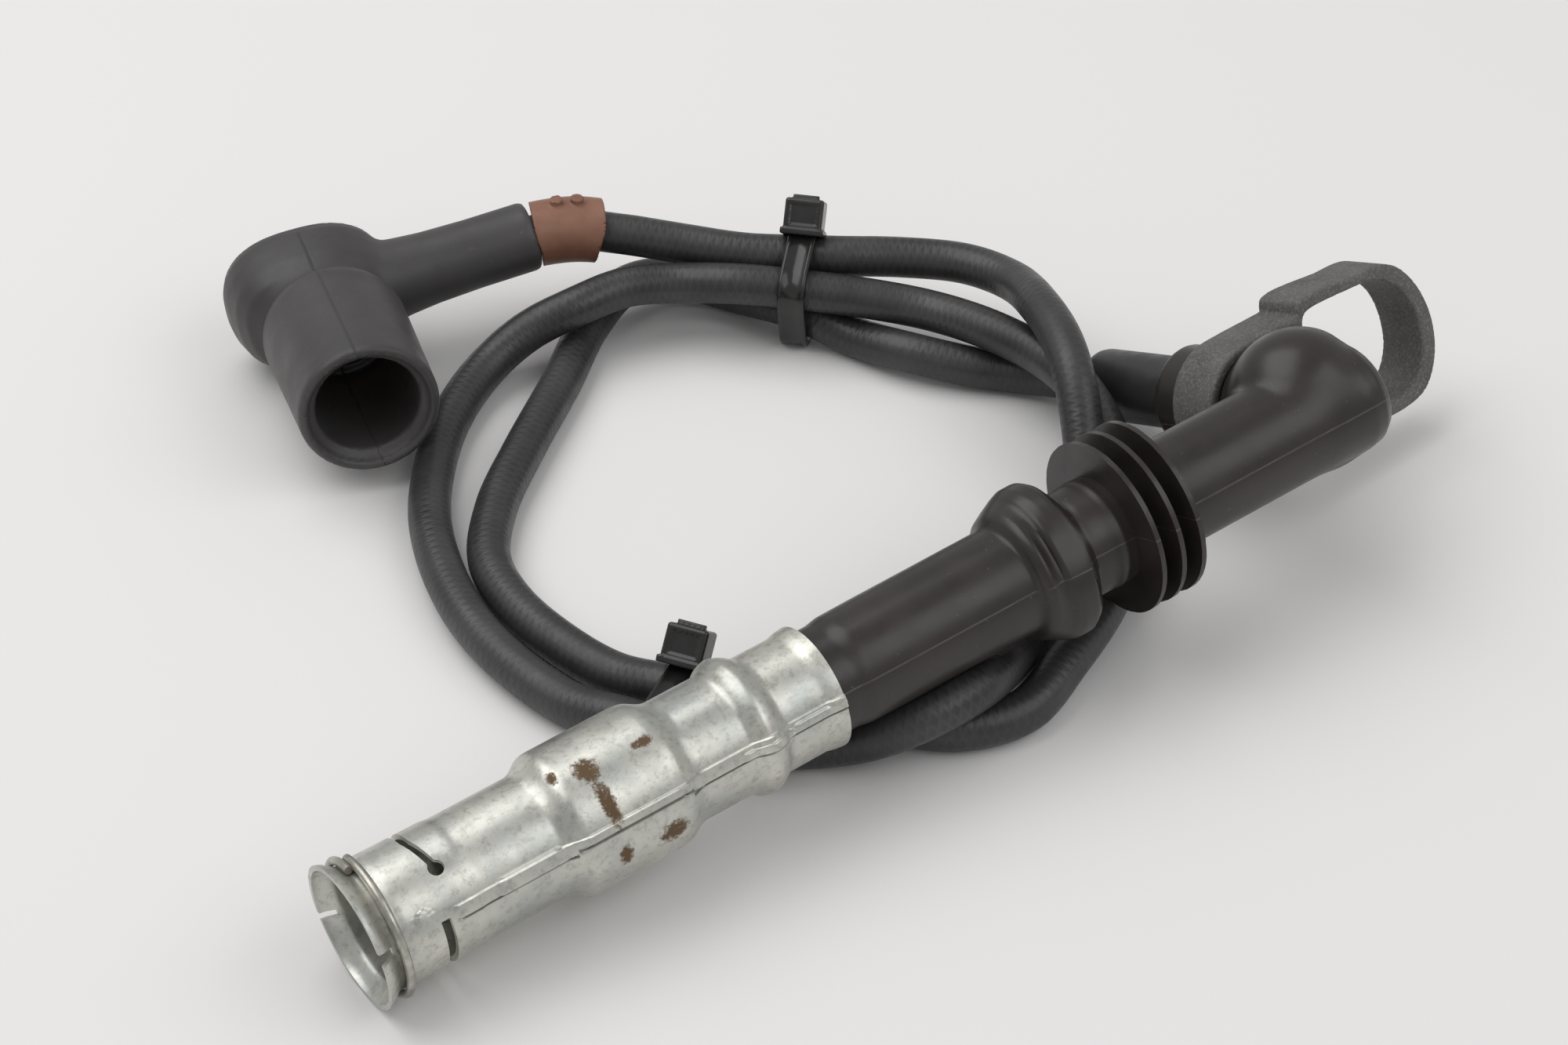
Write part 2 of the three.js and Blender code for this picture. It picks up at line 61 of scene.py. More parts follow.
# Where the ends lie, in millimetres
CONNECTOR_MOUTH = np.array((-106.71, -65.55, 11.20))
CONNECTOR_TILT = math.radians(5.31)
CONNECTOR_AXIS = np.array((math.cos(CONNECTOR_TILT), 0.0, math.sin(CONNECTOR_TILT)))
ELBOW_STATION = 175.0
ELBOW = CONNECTOR_MOUTH + CONNECTOR_AXIS * ELBOW_STATION
ARM_DIRECTION = unit((-0.109, 0.908, -0.404))
ARM_LENGTH = 29.2
TUBE_LENGTH = 50.5
TUBE_RADIUS = 6.0
BOOT_MOUTH = np.array((-47.99, 32.31, 16.00))
BOOT_INWARD = unit((0.308, 0.948, -0.077))
BOOT_ARM_ROOT = np.array((-36.74, 66.89, 13.20))
BOOT_ARM_END = np.array((-1.51, 58.39, 17.50))
RING_AT = np.array((5.96, 55.49, 17.10))

CABLE_DIAMETER = 7.0
ROUTE = [
    (63.8, -34.7, 13.8), (62.9, -26.5, 10.2), (61.9, -18.3, 6.5), (54.5, -5.3, 3.7),
    (49.1, 0.0, 4.0), (42.4, 8.0, 4.8), (38.3, 18.3, 3.6), (33.4, 28.3, 5.3),
    (28.8, 40.5, 3.6), (23.6, 47.4, 4.3), (17.7, 50.5, 5.5), (11.2, 50.6, 5.6),
    (2.6, 46.7, 3.9), (-10.5, 35.4, 3.6), (-25.1, 23.3, 3.7), (-36.6, 12.9, 3.6),
    (-44.4, 2.0, 3.6), (-46.7, -9.2, 3.6), (-45.7, -21.5, 3.6), (-42.6, -32.5, 3.6),
    (-37.8, -42.0, 5.3), (-30.3, -51.7, 3.6), (-21.5, -57.9, 3.6), (-14.6, -64.7, 3.6),
    (-6.7, -72.1, 3.6), (3.8, -74.6, 3.7), (15.6, -70.1, 4.8), (27.8, -63.7, 5.4),
    (41.4, -52.3, 3.6), (49.9, -40.8, 5.2), (52.4, -33.1, 9.1), (53.3, -25.3, 12.4),
    (54.0, -15.3, 12.4), (52.5, -2.3, 11.2), (48.8, 10.1, 9.6), (41.3, 18.1, 10.5),
    (32.1, 25.4, 11.8), (23.2, 32.0, 12.8), (15.9, 39.1, 11.7), (7.9, 42.9, 11.9),
    (-1.8, 43.9, 11.1), (-10.4, 46.1, 8.0), (-19.3, 45.0, 4.8), (-30.3, 37.7, 3.8),
    (-40.0, 27.1, 3.6), (-47.5, 15.4, 3.7), (-52.5, 1.7, 3.6), (-54.7, -11.3, 3.6),
    (-54.3, -23.4, 3.6), (-51.8, -34.8, 3.7), (-47.7, -43.8, 5.2), (-42.1, -52.4, 5.1),
    (-34.6, -58.1, 4.0), (-26.4, -63.3, 3.8), (-20.2, -68.7, 6.3), (-12.3, -72.8, 9.9),
    (-3.2, -72.5, 10.7), (13.5, -62.3, 3.9), (23.9, -57.6, 4.0), (34.2, -49.3, 4.4),
    (39.8, -43.9, 7.8), (44.4, -37.3, 11.0), (46.8, -32.9, 14.7), (49.3, -27.5, 18.4),
    (52.5, -20.1, 20.0), (56.4, -9.5, 18.9), (60.4, 3.8, 15.1), (57.9, 13.6, 13.9),
    (50.2, 21.3, 13.8), (41.0, 27.0, 14.4), (36.1, 31.3, 14.1), (28.3, 37.1, 14.3),
    (20.3, 44.6, 15.1), (12.4, 51.0, 16.5), (5.2, 56.1, 17.3), (-4.4, 59.1, 17.3),
    (-12.1, 61.0, 16.3), (-18.9, 62.6, 15.5),
]


# Placing and meshes

def placing(origin, forward, side):
    """First axis along forward, second towards side, third between them; millimetres."""
    forward = Vector(forward).normalized()
    up = forward.cross(Vector(side)).normalized()
    left = up.cross(forward).normalized()
    place = Matrix((forward, left, up)).transposed().to_4x4()
    place.translation = Vector(origin)
    return place


def moved(points, place):
    return np.asarray(points, float) @ np.array(place.to_3x3()).T + np.array(place.translation)


def add_piece(name, data):
    piece = bpy.data.objects.new(name, data)
    bpy.context.scene.collection.objects.link(piece)
    return piece


def mesh_piece(name, points, faces, material, place=None):
    """A smooth piece at the origin, from points in millimetres."""
    if place is not None:
        points = moved(points, place)
    mesh = bpy.data.meshes.new(name)
    mesh.from_pydata((np.asarray(points) * MM).tolist(), [], [tuple(int(i) for i in f) for f in faces])
    mesh.validate()
    mesh.polygons.foreach_set("use_smooth", [True] * len(mesh.polygons))
    mesh.materials.append(material)
    return add_piece(name, mesh)


def sharp_by_angle(piece, angle):
    """Keeps edges steeper than the angle crisp under smooth shading."""
    piece.data.set_sharp_from_angle(angle=math.radians(angle))
    return piece


def rounded_line(line, spread, spacing=0.4):
    """Even stations along a profile, with its corners softened."""
    line = np.asarray(line, float)
    fine = np.arange(line[0, 0], line[-1, 0] + 0.05, 0.05)
    radius = np.interp(fine, line[:, 0], line[:, 1])
    reach = int(4 * spread / 0.05) + 1
    window = np.exp(-0.5 * (np.arange(-reach, reach + 1) * 0.05 / spread) ** 2)
    window /= window.sum()
    padded = np.concatenate([np.full(reach, radius[0]), radius, np.full(reach, radius[-1])])
    soft = np.convolve(padded, window, mode="valid")
    count = max(2, int((line[-1, 0] - line[0, 0]) / spacing))
    stations = np.linspace(line[0, 0], line[-1, 0], count + 1)
    return stations, np.interp(stations, fine, soft)


def turned(profile, segments, reshape=None, closed=False):
    """Points and faces of a shape turned about the first axis, angles from the top to the front."""
    points = []
    rings = []
    for station, radius in profile:
        if radius < 1e-6:
            rings.append([len(points)] * segments)
            points.append((station, 0.0, 0.0))
            continue
        rings.append(list(range(len(points), len(points) + segments)))
        for k in range(segments):
            angle = 2 * math.pi * k / segments
            grown = reshape(station, radius, angle) if reshape else radius
            points.append((station, -math.sin(angle) * grown, math.cos(angle) * grown))
    pairs = list(zip(rings, rings[1:]))
    if closed:
        pairs.append((rings[-1], rings[0]))
    faces = []
    for near, far in pairs:
        for k in range(segments):
            n = (k + 1) % segments
            corners = [near[k], near[n], far[n], far[k]]
            face = [c for i, c in enumerate(corners) if c != corners[i - 1]]
            if len(face) > 2:
                faces.append(face)
    return points, faces


# Fields: distances in millimetres, negative inside

def polygon_distance(points, outline):
    x, y = points[:, 0], points[:, 1]
    nearest = np.full(len(x), 1e9)
    inside = np.zeros(len(x), bool)
    ring = list(outline)
    for (ax, ay), (bx, by) in zip(ring, ring[1:] + ring[:1]):
        ex, ey = bx - ax, by - ay
        t = np.clip(((x - ax) * ex + (y - ay) * ey) / (ex * ex + ey * ey), 0, 1)
        nearest = np.minimum(nearest, (x - ax - t * ex) ** 2 + (y - ay - t * ey) ** 2)
        if ey:
            inside ^= ((ay > y) != (by > y)) & (x < ax + (y - ay) * ex / ey)
    return np.where(inside, -1, 1) * np.sqrt(nearest)


# How far past its axis a turned profile is carried, so that the axis itself lies inside
PAST_AXIS = -4.0


def spun_distance(station, radius, profile):
    """Distance to a shape turned from a profile of stations and radii."""
    outline = [(profile[0][0], PAST_AXIS), *profile, (profile[-1][0], PAST_AXIS)]
    return polygon_distance(np.stack([station, radius], axis=1), outline)


def spun(points, origin, axis, profile):
    """The same, about an axis through an origin."""
    offset = points - origin
    station = offset @ axis
    return spun_distance(station, np.linalg.norm(offset - station[:, None] * axis, axis=1), profile)


def joined(a, b, fillet):
    h = np.clip(0.5 + 0.5 * (b - a) / fillet, 0, 1)
    return b + (a - b) * h - fillet * h * (1 - h)


def cut_out(a, b, fillet=0.3):
    return -joined(-a, b, fillet)


def rounded_box(points, half, corner):
    q = np.abs(points) - (np.asarray(half) - corner)
    return np.linalg.norm(np.maximum(q, 0), axis=1) + np.minimum(q.max(axis=1), 0) - corner


def surface_of(field, low, high, step):
    """Points and faces of the surface where a field is zero."""
    low = np.asarray(low, float)
    counts = np.ceil((np.asarray(high) - low) / step).astype(int) + 1
    axes = [low[k] + step * np.arange(counts[k]) for k in range(3)]
    grid = np.stack(np.meshgrid(*axes, indexing="ij"), axis=-1).reshape(-1, 3)
    inside = (field(grid) < 0).reshape(counts)
    total = np.zeros(counts - 1, int)
    for i in (0, 1):
        for j in (0, 1):
            for k in (0, 1):
                total += inside[i:counts[0] - 1 + i, j:counts[1] - 1 + j, k:counts[2] - 1 + k]
    mixed = (total > 0) & (total < 8)
    index = np.full(mixed.shape, -1)
    cells = np.argwhere(mixed)
    index[mixed] = np.arange(len(cells))
    points = low + step * (cells + 0.5)
    centre = points.copy()
    for _ in range(6):
        value = field(points)
        slope = np.stack([(field(points + h) - field(points - h)) / 0.04 for h in np.eye(3) * 0.02], axis=1)
        size = np.maximum((slope ** 2).sum(axis=1), 0.05)
        points = points - slope * (value / size)[:, None]
        points = np.clip(points, centre - step, centre + step)
    faces = []
    for axis in range(3):
        a, b = (axis + 1) % 3, (axis + 2) % 3
        here = np.moveaxis(inside, axis, 0)
        change = np.moveaxis(here[1:] != here[:-1], 0, axis)
        at = np.argwhere(change)
        at = at[(at[:, a] > 0) & (at[:, b] > 0) & (at[:, a] < counts[a] - 1) & (at[:, b] < counts[b] - 1)]
        ea, eb = np.eye(3, dtype=int)[a], np.eye(3, dtype=int)[b]
        quad = np.stack([index[tuple(c.T)] for c in (at - ea - eb, at - eb, at, at - ea)], axis=1)
        outward = inside[tuple(at.T)]
        quad[~outward] = quad[~outward][:, ::-1]
        faces.append(quad)
    return points, np.concatenate(faces)


def carved(name, field, low, high, step, material):
    """A piece from the surface of a field."""
    return mesh_piece(name, *surface_of(field, low, high, step), material)


# Node trees

def node(tree, kind, inputs=None, **settings):
    made = tree.nodes.new(kind)
    for key, value in settings.items():
        setattr(made, key, value)
    for socket, value in (inputs or {}).items():
        target = made.inputs[socket]
        if isinstance(value, bpy.types.NodeSocket):
            tree.links.new(value, target)
        else:
            target.default_value = value
    return made


def new_tree(name, sizes):
    """A geometry tree with named size inputs; returns the tree, its input and its output."""
    tree = bpy.data.node_groups.new(name, "GeometryNodeTree")
    tree.interface.new_socket("Geometry", in_out="INPUT", socket_type="NodeSocketGeometry")
    for label, value in sizes.items():
        kind = "NodeSocketInt" if isinstance(value, int) else "NodeSocketFloat"
        tree.interface.new_socket(label, in_out="INPUT", socket_type=kind).default_value = value
    tree.interface.new_socket("Geometry", in_out="OUTPUT", socket_type="NodeSocketGeometry")
    return tree, tree.nodes.new("NodeGroupInput"), tree.nodes.new("NodeGroupOutput")


def swept_along(tree, line, section, caps=True):
    ends = {"Curve": line, "Profile Curve": section, "Fill Caps": caps}
    return node(tree, "GeometryNodeCurveToMesh", ends).outputs[0]


def finish_tree(tree, source, sink, material):
    """Ends a tree in plain geometry with its material."""
    real = node(tree, "GeometryNodeRealizeInstances", {"Geometry": source})
    smooth = node(tree, "GeometryNodeSetShadeSmooth", {"Geometry": real.outputs[0]})
    painted = node(tree, "GeometryNodeSetMaterial", {"Geometry": smooth.outputs[0], "Material": material})
    tree.links.new(painted.outputs[0], sink.inputs[0])


def grow(name, tree, sizes, carrier_mesh=None):
    """Runs a tree once and keeps the result as a plain mesh piece."""
    carrier = add_piece(name + "_carrier", carrier_mesh or bpy.data.meshes.new(name + "_carrier"))
    modifier = carrier.modifiers.new("shape", "NODES")
    modifier.node_group = tree
    for socket in tree.interface.items_tree:
        if socket.item_type == "SOCKET" and socket.in_out == "INPUT" and socket.name in sizes:
            modifier[socket.identifier] = sizes[socket.name]
    graph = bpy.context.evaluated_depsgraph_get()
    mesh = bpy.data.meshes.new_from_object(carrier.evaluated_get(graph), preserve_all_data_layers=True,
                                           depsgraph=graph)
    mesh.name = name
    bpy.data.objects.remove(carrier)
    return add_piece(name, mesh)


# Materials

def new_material(name):
    """A material, its tree, its shader and the coordinates that its patterns follow."""
    material = bpy.data.materials.new(name)
    material.use_nodes = True
    tree = material.node_tree
    at = node(tree, "ShaderNodeTexCoord").outputs["Object"]
    return material, tree, tree.nodes["Principled BSDF"], at


def dress(tree, shader, **looks):
    """Links or sets the shader's inputs; base_color stands for the input Base Color."""
    for name, value in looks.items():
        socket = shader.inputs[name.replace("_", " ").title()]
        if isinstance(value, bpy.types.NodeSocket):
            tree.links.new(value, socket)
        else:
            socket.default_value = value


def noise(tree, vector, scale, detail=4.0, roughness=0.55):
    return node(tree, "ShaderNodeTexNoise", {"Vector": vector, "Scale": scale, "Detail": detail,
                                             "Roughness": roughness}).outputs[0]


def ramp(tree, value, stops):
    """Colour or grey steps along a value; each stop is (place, colour)."""
    made = node(tree, "ShaderNodeValToRGB", {"Fac": value})
    elements = made.color_ramp.elements
    while len(elements) < len(stops):
        elements.new(0.5)
    for element, (place, colour) in zip(elements, stops):
        element.position = place
        element.color = (*colour, 1) if isinstance(colour, tuple) else (colour, colour, colour, 1)
    return made.outputs[0]


def mottle(tree, at, scale, detail, low, high, spread=0.2):
    """Noise between two colours or two greys."""
    return ramp(tree, noise(tree, at, scale, detail), [(0.5 - spread, low), (0.5 + spread, high)])


def math_node(tree, operation, a, b=0.0, clamp=False):
    return node(tree, "ShaderNodeMath", {0: a, 1: b}, operation=operation, use_clamp=clamp).outputs[0]


def times(tree, a, b):
    return math_node(tree, "MULTIPLY", a, b)


def minus(tree, a, b, clamp=False):
    return math_node(tree, "SUBTRACT", a, b, clamp)


def mix_colour(tree, factor, a, b):
    made = node(tree, "ShaderNodeMix", {0: factor}, data_type="RGBA")
    for socket, value in ((6, a), (7, b)):
        if isinstance(value, bpy.types.NodeSocket):
            tree.links.new(value, made.inputs[socket])
        else:
            made.inputs[socket].default_value = (*value, 1)
    return made.outputs[2]


def bump(tree, height, strength, distance, below=None):
    inputs = {"Height": height, "Strength": strength, "Distance": distance * MM}
    if below is not None:
        inputs["Normal"] = below
    return node(tree, "ShaderNodeBump", inputs).outputs[0]


def seam_line(tree, at, normal, point, width):
    """One on the thin line where a plane meets a surface, falling to nothing at its width; millimetres."""
    normal = unit(normal)
    reach = node(tree, "ShaderNodeVectorMath", {0: at, 1: tuple(normal)}, operation="DOT_PRODUCT")
    away = minus(tree, reach.outputs["Value"], float(normal @ np.asarray(point, float)) * MM)
    away = math_node(tree, "DIVIDE", math_node(tree, "ABSOLUTE", away), width * MM)
    return minus(tree, 1.0, away, clamp=True)


# Stains on the sleeve: station, angle, and how far each reaches along and round
STAINS = [(38.3, 16, 2.6, 14), (38.5, 45, 1.6, 26), (47.5, 17, 2.4, 6), (33.5, 8, 1.0, 8),
          (38.5, 88, 1.5, 12), (46.5, 90, 3.0, 12)]


def stained(tree, at, station, angle):
    """One where brown grime sits on the sleeve."""
    grime = None
    for s, a, reach_s, reach_a in STAINS:
        ds = math_node(tree, "DIVIDE", minus(tree, station, s), reach_s)
        da = math_node(tree, "DIVIDE", minus(tree, angle, a), reach_a)
        square = math_node(tree, "ADD", times(tree, ds, ds), times(tree, da, da))
        spot = minus(tree, 1.0, square, clamp=True)
        grime = spot if grime is None else math_node(tree, "MAXIMUM", grime, spot)
    grit = noise(tree, at, 1500, 6, 0.8)
    return ramp(tree, math_node(tree, "ADD", grit, times(tree, grime, 0.40)), [(0.62, 0.0), (0.80, 1.0)])


def seam_shade(tree, station, angle):
    """One on the painted shade line: the gap under the sleeve's folded seam, darkened in colour as if in
    shadow.
    """
    past = math_node(tree, "GREATER_THAN", station, 13.2)
    off_bulge = math_node(tree, "ABSOLUTE", minus(tree, station, 41.5))
    bulge = math_node(tree, "LESS_THAN", off_bulge, 9.5)
    off_gap = math_node(tree, "ABSOLUTE", minus(tree, angle, minus(tree, 72.4, times(tree, bulge, 5.5))))
    gap = minus(tree, 1.0, math_node(tree, "DIVIDE", off_gap, 2.2), clamp=True)
    return times(tree, times(tree, gap, past), 0.85)


def zinc_steel():
    material, tree, shader, at = new_material("zinc_plated_steel")
    cloud = noise(tree, at, 90, 5, 0.6)
    plate = ramp(tree, cloud, [(0.3, (0.44, 0.46, 0.44)), (0.5, (0.57, 0.57, 0.525)),
                               (0.7, (0.70, 0.685, 0.61))])
    speck = ramp(tree, noise(tree, at, 900, 3, 0.7), [(0.50, 0.0), (0.68, 1.0)])
    speckled = mix_colour(tree, times(tree, speck, 0.5), plate, (0.30, 0.29, 0.25))
    skin = node(tree, "ShaderNodeAttribute", attribute_name="skin").outputs["Vector"]
    station, angle, _ = node(tree, "ShaderNodeSeparateXYZ", {0: skin}).outputs
    stain = stained(tree, at, station, angle)
    colour = mix_colour(tree, stain, speckled, (0.13, 0.08, 0.04))
    rough = ramp(tree, noise(tree, at, 260, 5, 0.6), [(0.3, 0.30), (0.7, 0.46)])
    grain = bump(tree, noise(tree, at, 1700, 4, 0.7), 0.42, 0.05)
    # base colour takes painted shade along the gap under the folded seam
    dress(tree, shader,
          base_color=mix_colour(tree, seam_shade(tree, station, angle), colour, (0.05, 0.045, 0.04)),
          roughness=mix_colour(tree, stain, rough, (0.8, 0.8, 0.8)),
          metallic=minus(tree, 0.92, times(tree, stain, 0.7)),
          normal=bump(tree, cloud, 0.25, 0.15, grain))
    return material


def dusted(tree, at, scale, amount, tone, dust):
    """Fine pale specks over a tone."""
    specks = ramp(tree, noise(tree, at, scale, 2, 0.5), [(0.70, 0.0), (0.78, 1.0)])
    return mix_colour(tree, times(tree, specks, amount), tone, dust)


PARTING_ANGLE = 64.0


def moulded_plastic():
    """Dark moulding with a faint broken parting line along its front."""
    material, tree, shader, at = new_material("moulded_plastic")
    tone = mottle(tree, at, 60, 4, (0.018, 0.0135, 0.013), (0.027, 0.020, 0.019), 0.15)
    tone = dusted(tree, at, 1300, 0.25, tone, (0.20, 0.18, 0.16))
    turn = math.radians(PARTING_ANGLE)
    up = np.array((-math.sin(CONNECTOR_TILT), 0.0, math.cos(CONNECTOR_TILT)))
    across = math.cos(turn) * np.array((0.0, -1.0, 0.0)) - math.sin(turn) * up
    line = seam_line(tree, at, across, CONNECTOR_MOUTH, 0.17)
    broken = mottle(tree, at, 500, 3, 0.1, 0.5, 0.15)
    dress(tree, shader,
          base_color=mix_colour(tree, times(tree, line, broken), tone, (0.10, 0.085, 0.075)),
          roughness=mottle(tree, at, 240, 5, 0.29, 0.40),
          normal=bump(tree, noise(tree, at, 1600, 3), 0.16, 0.05, bump(tree, line, 0.5, 0.12)))
    return material


def loop_rubber():
    material, tree, shader, at = new_material("loop_rubber")
    tone = mottle(tree, at, 140, 5, (0.070, 0.067, 0.064), (0.115, 0.110, 0.105))
    speck = ramp(tree, noise(tree, at, 2100, 3, 0.75), [(0.48, 0.0), (0.66, 1.0)])
    dress(tree, shader, roughness=0.72,
          base_color=mix_colour(tree, times(tree, speck, 0.5), tone, (0.24, 0.24, 0.235)),
          normal=bump(tree, noise(tree, at, 1300, 4, 0.7), 0.5, 0.12))
    return material


# One turn of the woven print along the cable
WEAVE_PITCH = 9.0


def cable_rubber():
    """Rubber that took the print of a woven wrap: crossed diagonal ridges round the cable, with a painted
    blue-grey sheen on the ridges.
    """
    material, tree, shader, at = new_material("cable_rubber")
    lay = node(tree, "ShaderNodeAttribute", attribute_name="lay").outputs["Vector"]
    length, cosine, sine = node(tree, "ShaderNodeSeparateXYZ", {0: lay}).outputs
    turn = math_node(tree, "ARCTAN2", sine, cosine)
    length = times(tree, length, 2 * math.pi / (WEAVE_PITCH * MM))
    ridges = []
    for way in (1.0, -1.0):
        phase = times(tree, math_node(tree, "ADD", length, times(tree, turn, way)), 6.0)
        ridges.append(math_node(tree, "SINE", phase))
    weave = times(tree, math_node(tree, "MAXIMUM", *ridges), noise(tree, at, 110, 3))
    tone = mottle(tree, at, 75, 4, (0.022, 0.0215, 0.022), (0.042, 0.042, 0.044), 0.15)
    # painted sheen: the print's ridges are coloured lighter and blue-grey, as if they catch the light
    ridge_sheen = ramp(tree, weave, [(0.25, 0.0), (0.62, 1.0)])
    dress(tree, shader,
          base_color=mix_colour(tree, times(tree, ridge_sheen, 0.14), tone, (0.11, 0.112, 0.118)),
          roughness=mottle(tree, at, 330, 5, 0.33, 0.48),
          normal=bump(tree, noise(tree, at, 1500, 3), 0.15, 0.05, bump(tree, weave, 0.35, 0.10)))
    return material


def boot_rubber():
    """Matt rubber with the boot's parting line on top."""
    material, tree, shader, at = new_material("boot_rubber")
    tone = mottle(tree, at, 55, 4, (0.043, 0.040, 0.040), (0.060, 0.056, 0.056), 0.15)
    side, _ = boot_axes()
    line = seam_line(tree, at, side + 0.052 * BOOT_INWARD, BOOT_MOUTH, 0.28)
    dress(tree, shader,
          base_color=dusted(tree, at, 1100, 0.2, tone, (0.22, 0.21, 0.2)),
          roughness=mottle(tree, at, 200, 5, 0.42, 0.55),
          normal=bump(tree, noise(tree, at, 1500, 4), 0.3, 0.06, bump(tree, line, 0.8, 0.18)))
    return material


# Plain finishes: tone, roughness and grain, each from one noise, and how metallic
PLAIN = {
    "spring_wire": ((420, 4, (0.30, 0.29, 0.26), (0.52, 0.50, 0.45), 0.15), (700, 4, 0.25, 0.42),
                    ((1800, 2), 0.2, 0.03), 0.95),
    "tube_rubber": ((80, 4, (0.021, 0.020, 0.021), (0.031, 0.029, 0.029), 0.15), (300, 5, 0.34, 0.5),
                    ((1400, 3), 0.15, 0.05), 0.0),
    "clip_plastic": ((260, 5, (0.205, 0.092, 0.056), (0.265, 0.125, 0.079)), (500, 4, 0.38, 0.52),
                     ((1500, 4), 0.25, 0.06), 0.0),
    "tie_nylon": ((200, 4, (0.013, 0.0125, 0.012), (0.021, 0.0195, 0.019), 0.15), (400, 4, 0.16, 0.28),
                  ((700, 2), 0.12, 0.05), 0.0),
    "turned_brass": ((300, 4, (0.50, 0.33, 0.13), (0.66, 0.47, 0.21), 0.15), (900, 4, 0.25, 0.4), None, 1.0),
    "fired_ceramic": ((200, 4, (0.62, 0.58, 0.50), (0.74, 0.70, 0.62), 0.15), None,
                      ((1200, 3), 0.2, 0.05), 0.0),
}


def plain(name):
    material, tree, shader, at = new_material(name)
    tone, rough, grain, metallic = PLAIN[name]
    dress(tree, shader, base_color=mottle(tree, at, *tone), metallic=metallic,
          roughness=mottle(tree, at, *rough) if rough else 0.55)
    if grain:
        field, strength, distance = grain
        dress(tree, shader, normal=bump(tree, noise(tree, at, *field), strength, distance))
    return material


def pale_floor():
    material, tree, shader, _ = new_material("pale_floor")
    dress(tree, shader, base_color=(0.80, 0.79, 0.785, 1), roughness=0.9)
    shader.inputs["Specular IOR Level"].default_value = 0.1
    return material


# Cable

def route_line(route, spacing):
    """Even points on the smooth curve through a route."""
    p = np.asarray(route, float)
    p = np.concatenate([[2 * p[0] - p[1]], p, [2 * p[-1] - p[-2]]])
    out = []
    for i in range(1, len(p) - 2):
        gaps = [np.linalg.norm(p[i + k] - p[i + k - 1]) ** 0.5 for k in (0, 1, 2)]
        start = (p[i] - p[i - 1]) / gaps[0] - (p[i + 1] - p[i - 1]) / (gaps[0] + gaps[1])
        start = (start + (p[i + 1] - p[i]) / gaps[1]) * gaps[1]
        stop = (p[i + 1] - p[i]) / gaps[1] - (p[i + 2] - p[i]) / (gaps[1] + gaps[2])
        stop = (stop + (p[i + 2] - p[i + 1]) / gaps[2]) * gaps[1]
        for t in np.linspace(0, 1, 24, endpoint=False):
            out.append(p[i] + start * t + (-3 * p[i] + 3 * p[i + 1] - 2 * start - stop) * t ** 2
                       + (2 * p[i] - 2 * p[i + 1] + start + stop) * t ** 3)
    out.append(p[-2])
    out = np.array(out)
    run = np.concatenate([[0], np.cumsum(np.linalg.norm(np.diff(out, axis=0), axis=1))])
    places = np.linspace(0, run[-1], int(run[-1] / spacing) + 1)
    return np.stack([np.interp(places, run, out[:, k]) for k in range(3)], axis=1), run[-1]


def cable_tree(material):
    """A round cord swept along its path, which keeps its length and turn for the woven print."""
    tree, source, sink = new_tree("cable", {"Radius": 0.0035, "Sides": 28})
    line = node(tree, "GeometryNodeMeshToCurve", {"Mesh": source.outputs["Geometry"]})
    along = node(tree, "GeometryNodeCaptureAttribute", {"Geometry": line.outputs[0]})
    along.capture_items.new("FLOAT", "Length")
    tree.links.new(node(tree, "GeometryNodeSplineParameter").outputs["Length"], along.inputs["Length"])
    ring = node(tree, "GeometryNodeCurvePrimitiveCircle",
                {"Resolution": source.outputs["Sides"], "Radius": source.outputs["Radius"]})
    turn = node(tree, "GeometryNodeCaptureAttribute", {"Geometry": ring.outputs[0]})
    turn.capture_items.new("FLOAT", "Turn")
    tree.links.new(node(tree, "GeometryNodeSplineParameter").outputs["Factor"], turn.inputs["Turn"])
    swept = swept_along(tree, along.outputs["Geometry"], turn.outputs["Geometry"])
    angle = times(tree, turn.outputs["Turn"], 2 * math.pi)
    lay = node(tree, "ShaderNodeCombineXYZ", {0: along.outputs["Length"], 1: math_node(tree, "COSINE", angle),
                                              2: math_node(tree, "SINE", angle)})
    kept = node(tree, "GeometryNodeStoreNamedAttribute", {"Geometry": swept, "Name": "lay"},
                data_type="FLOAT_VECTOR", domain="POINT")
    tree.links.new(lay.outputs[0], next(s for s in kept.inputs if s.name == "Value" and s.enabled))
    finish_tree(tree, kept.outputs[0], sink, material)
    return tree


def ignition_cable(material):
    line, length = route_line(ROUTE, 1.15)
    path = bpy.data.meshes.new("cable_path")
    path.from_pydata((line * MM).tolist(), [(i, i + 1) for i in range(len(line) - 1)], [])
    piece = grow("cable", cable_tree(material), {"Radius": CABLE_DIAMETER / 2 * MM}, path)
    return piece, line, length


# Plug connector

CONNECTOR = placing(CONNECTOR_MOUTH, CONNECTOR_AXIS, (0, 1, 0))
SLEEVE_LINE = [
    (0, 11.25), (0.7, 11.05), (1.6, 10.35), (2.55, 9.65), (4.8, 9.7), (5.5, 9.85), (16.3, 9.7), (17.35, 9.5),
    (30.55, 9.5), (31.75, 10.05), (33.1, 11.05), (34.1, 11.3), (48.9, 11.3), (50.3, 11.05), (52.45, 9.85),
    (53.6, 9.55), (62.3, 9.55), (63.5, 10.45), (65, 10.95), (66.5, 10.45), (68.2, 9.3), (75.3, 9.25),
    (76.7, 9.6), (78.1, 9.75),
]
SHEET = 0.8
SLEEVE_RADIUS = 9.7
SLOT_STATION = 13.0
KEYHOLE_ANGLE = 24.0


def step_between(value, low, high):
    t = np.clip((value - low) / (high - low), 0, 1)
    return t * t * (3 - 2 * t)


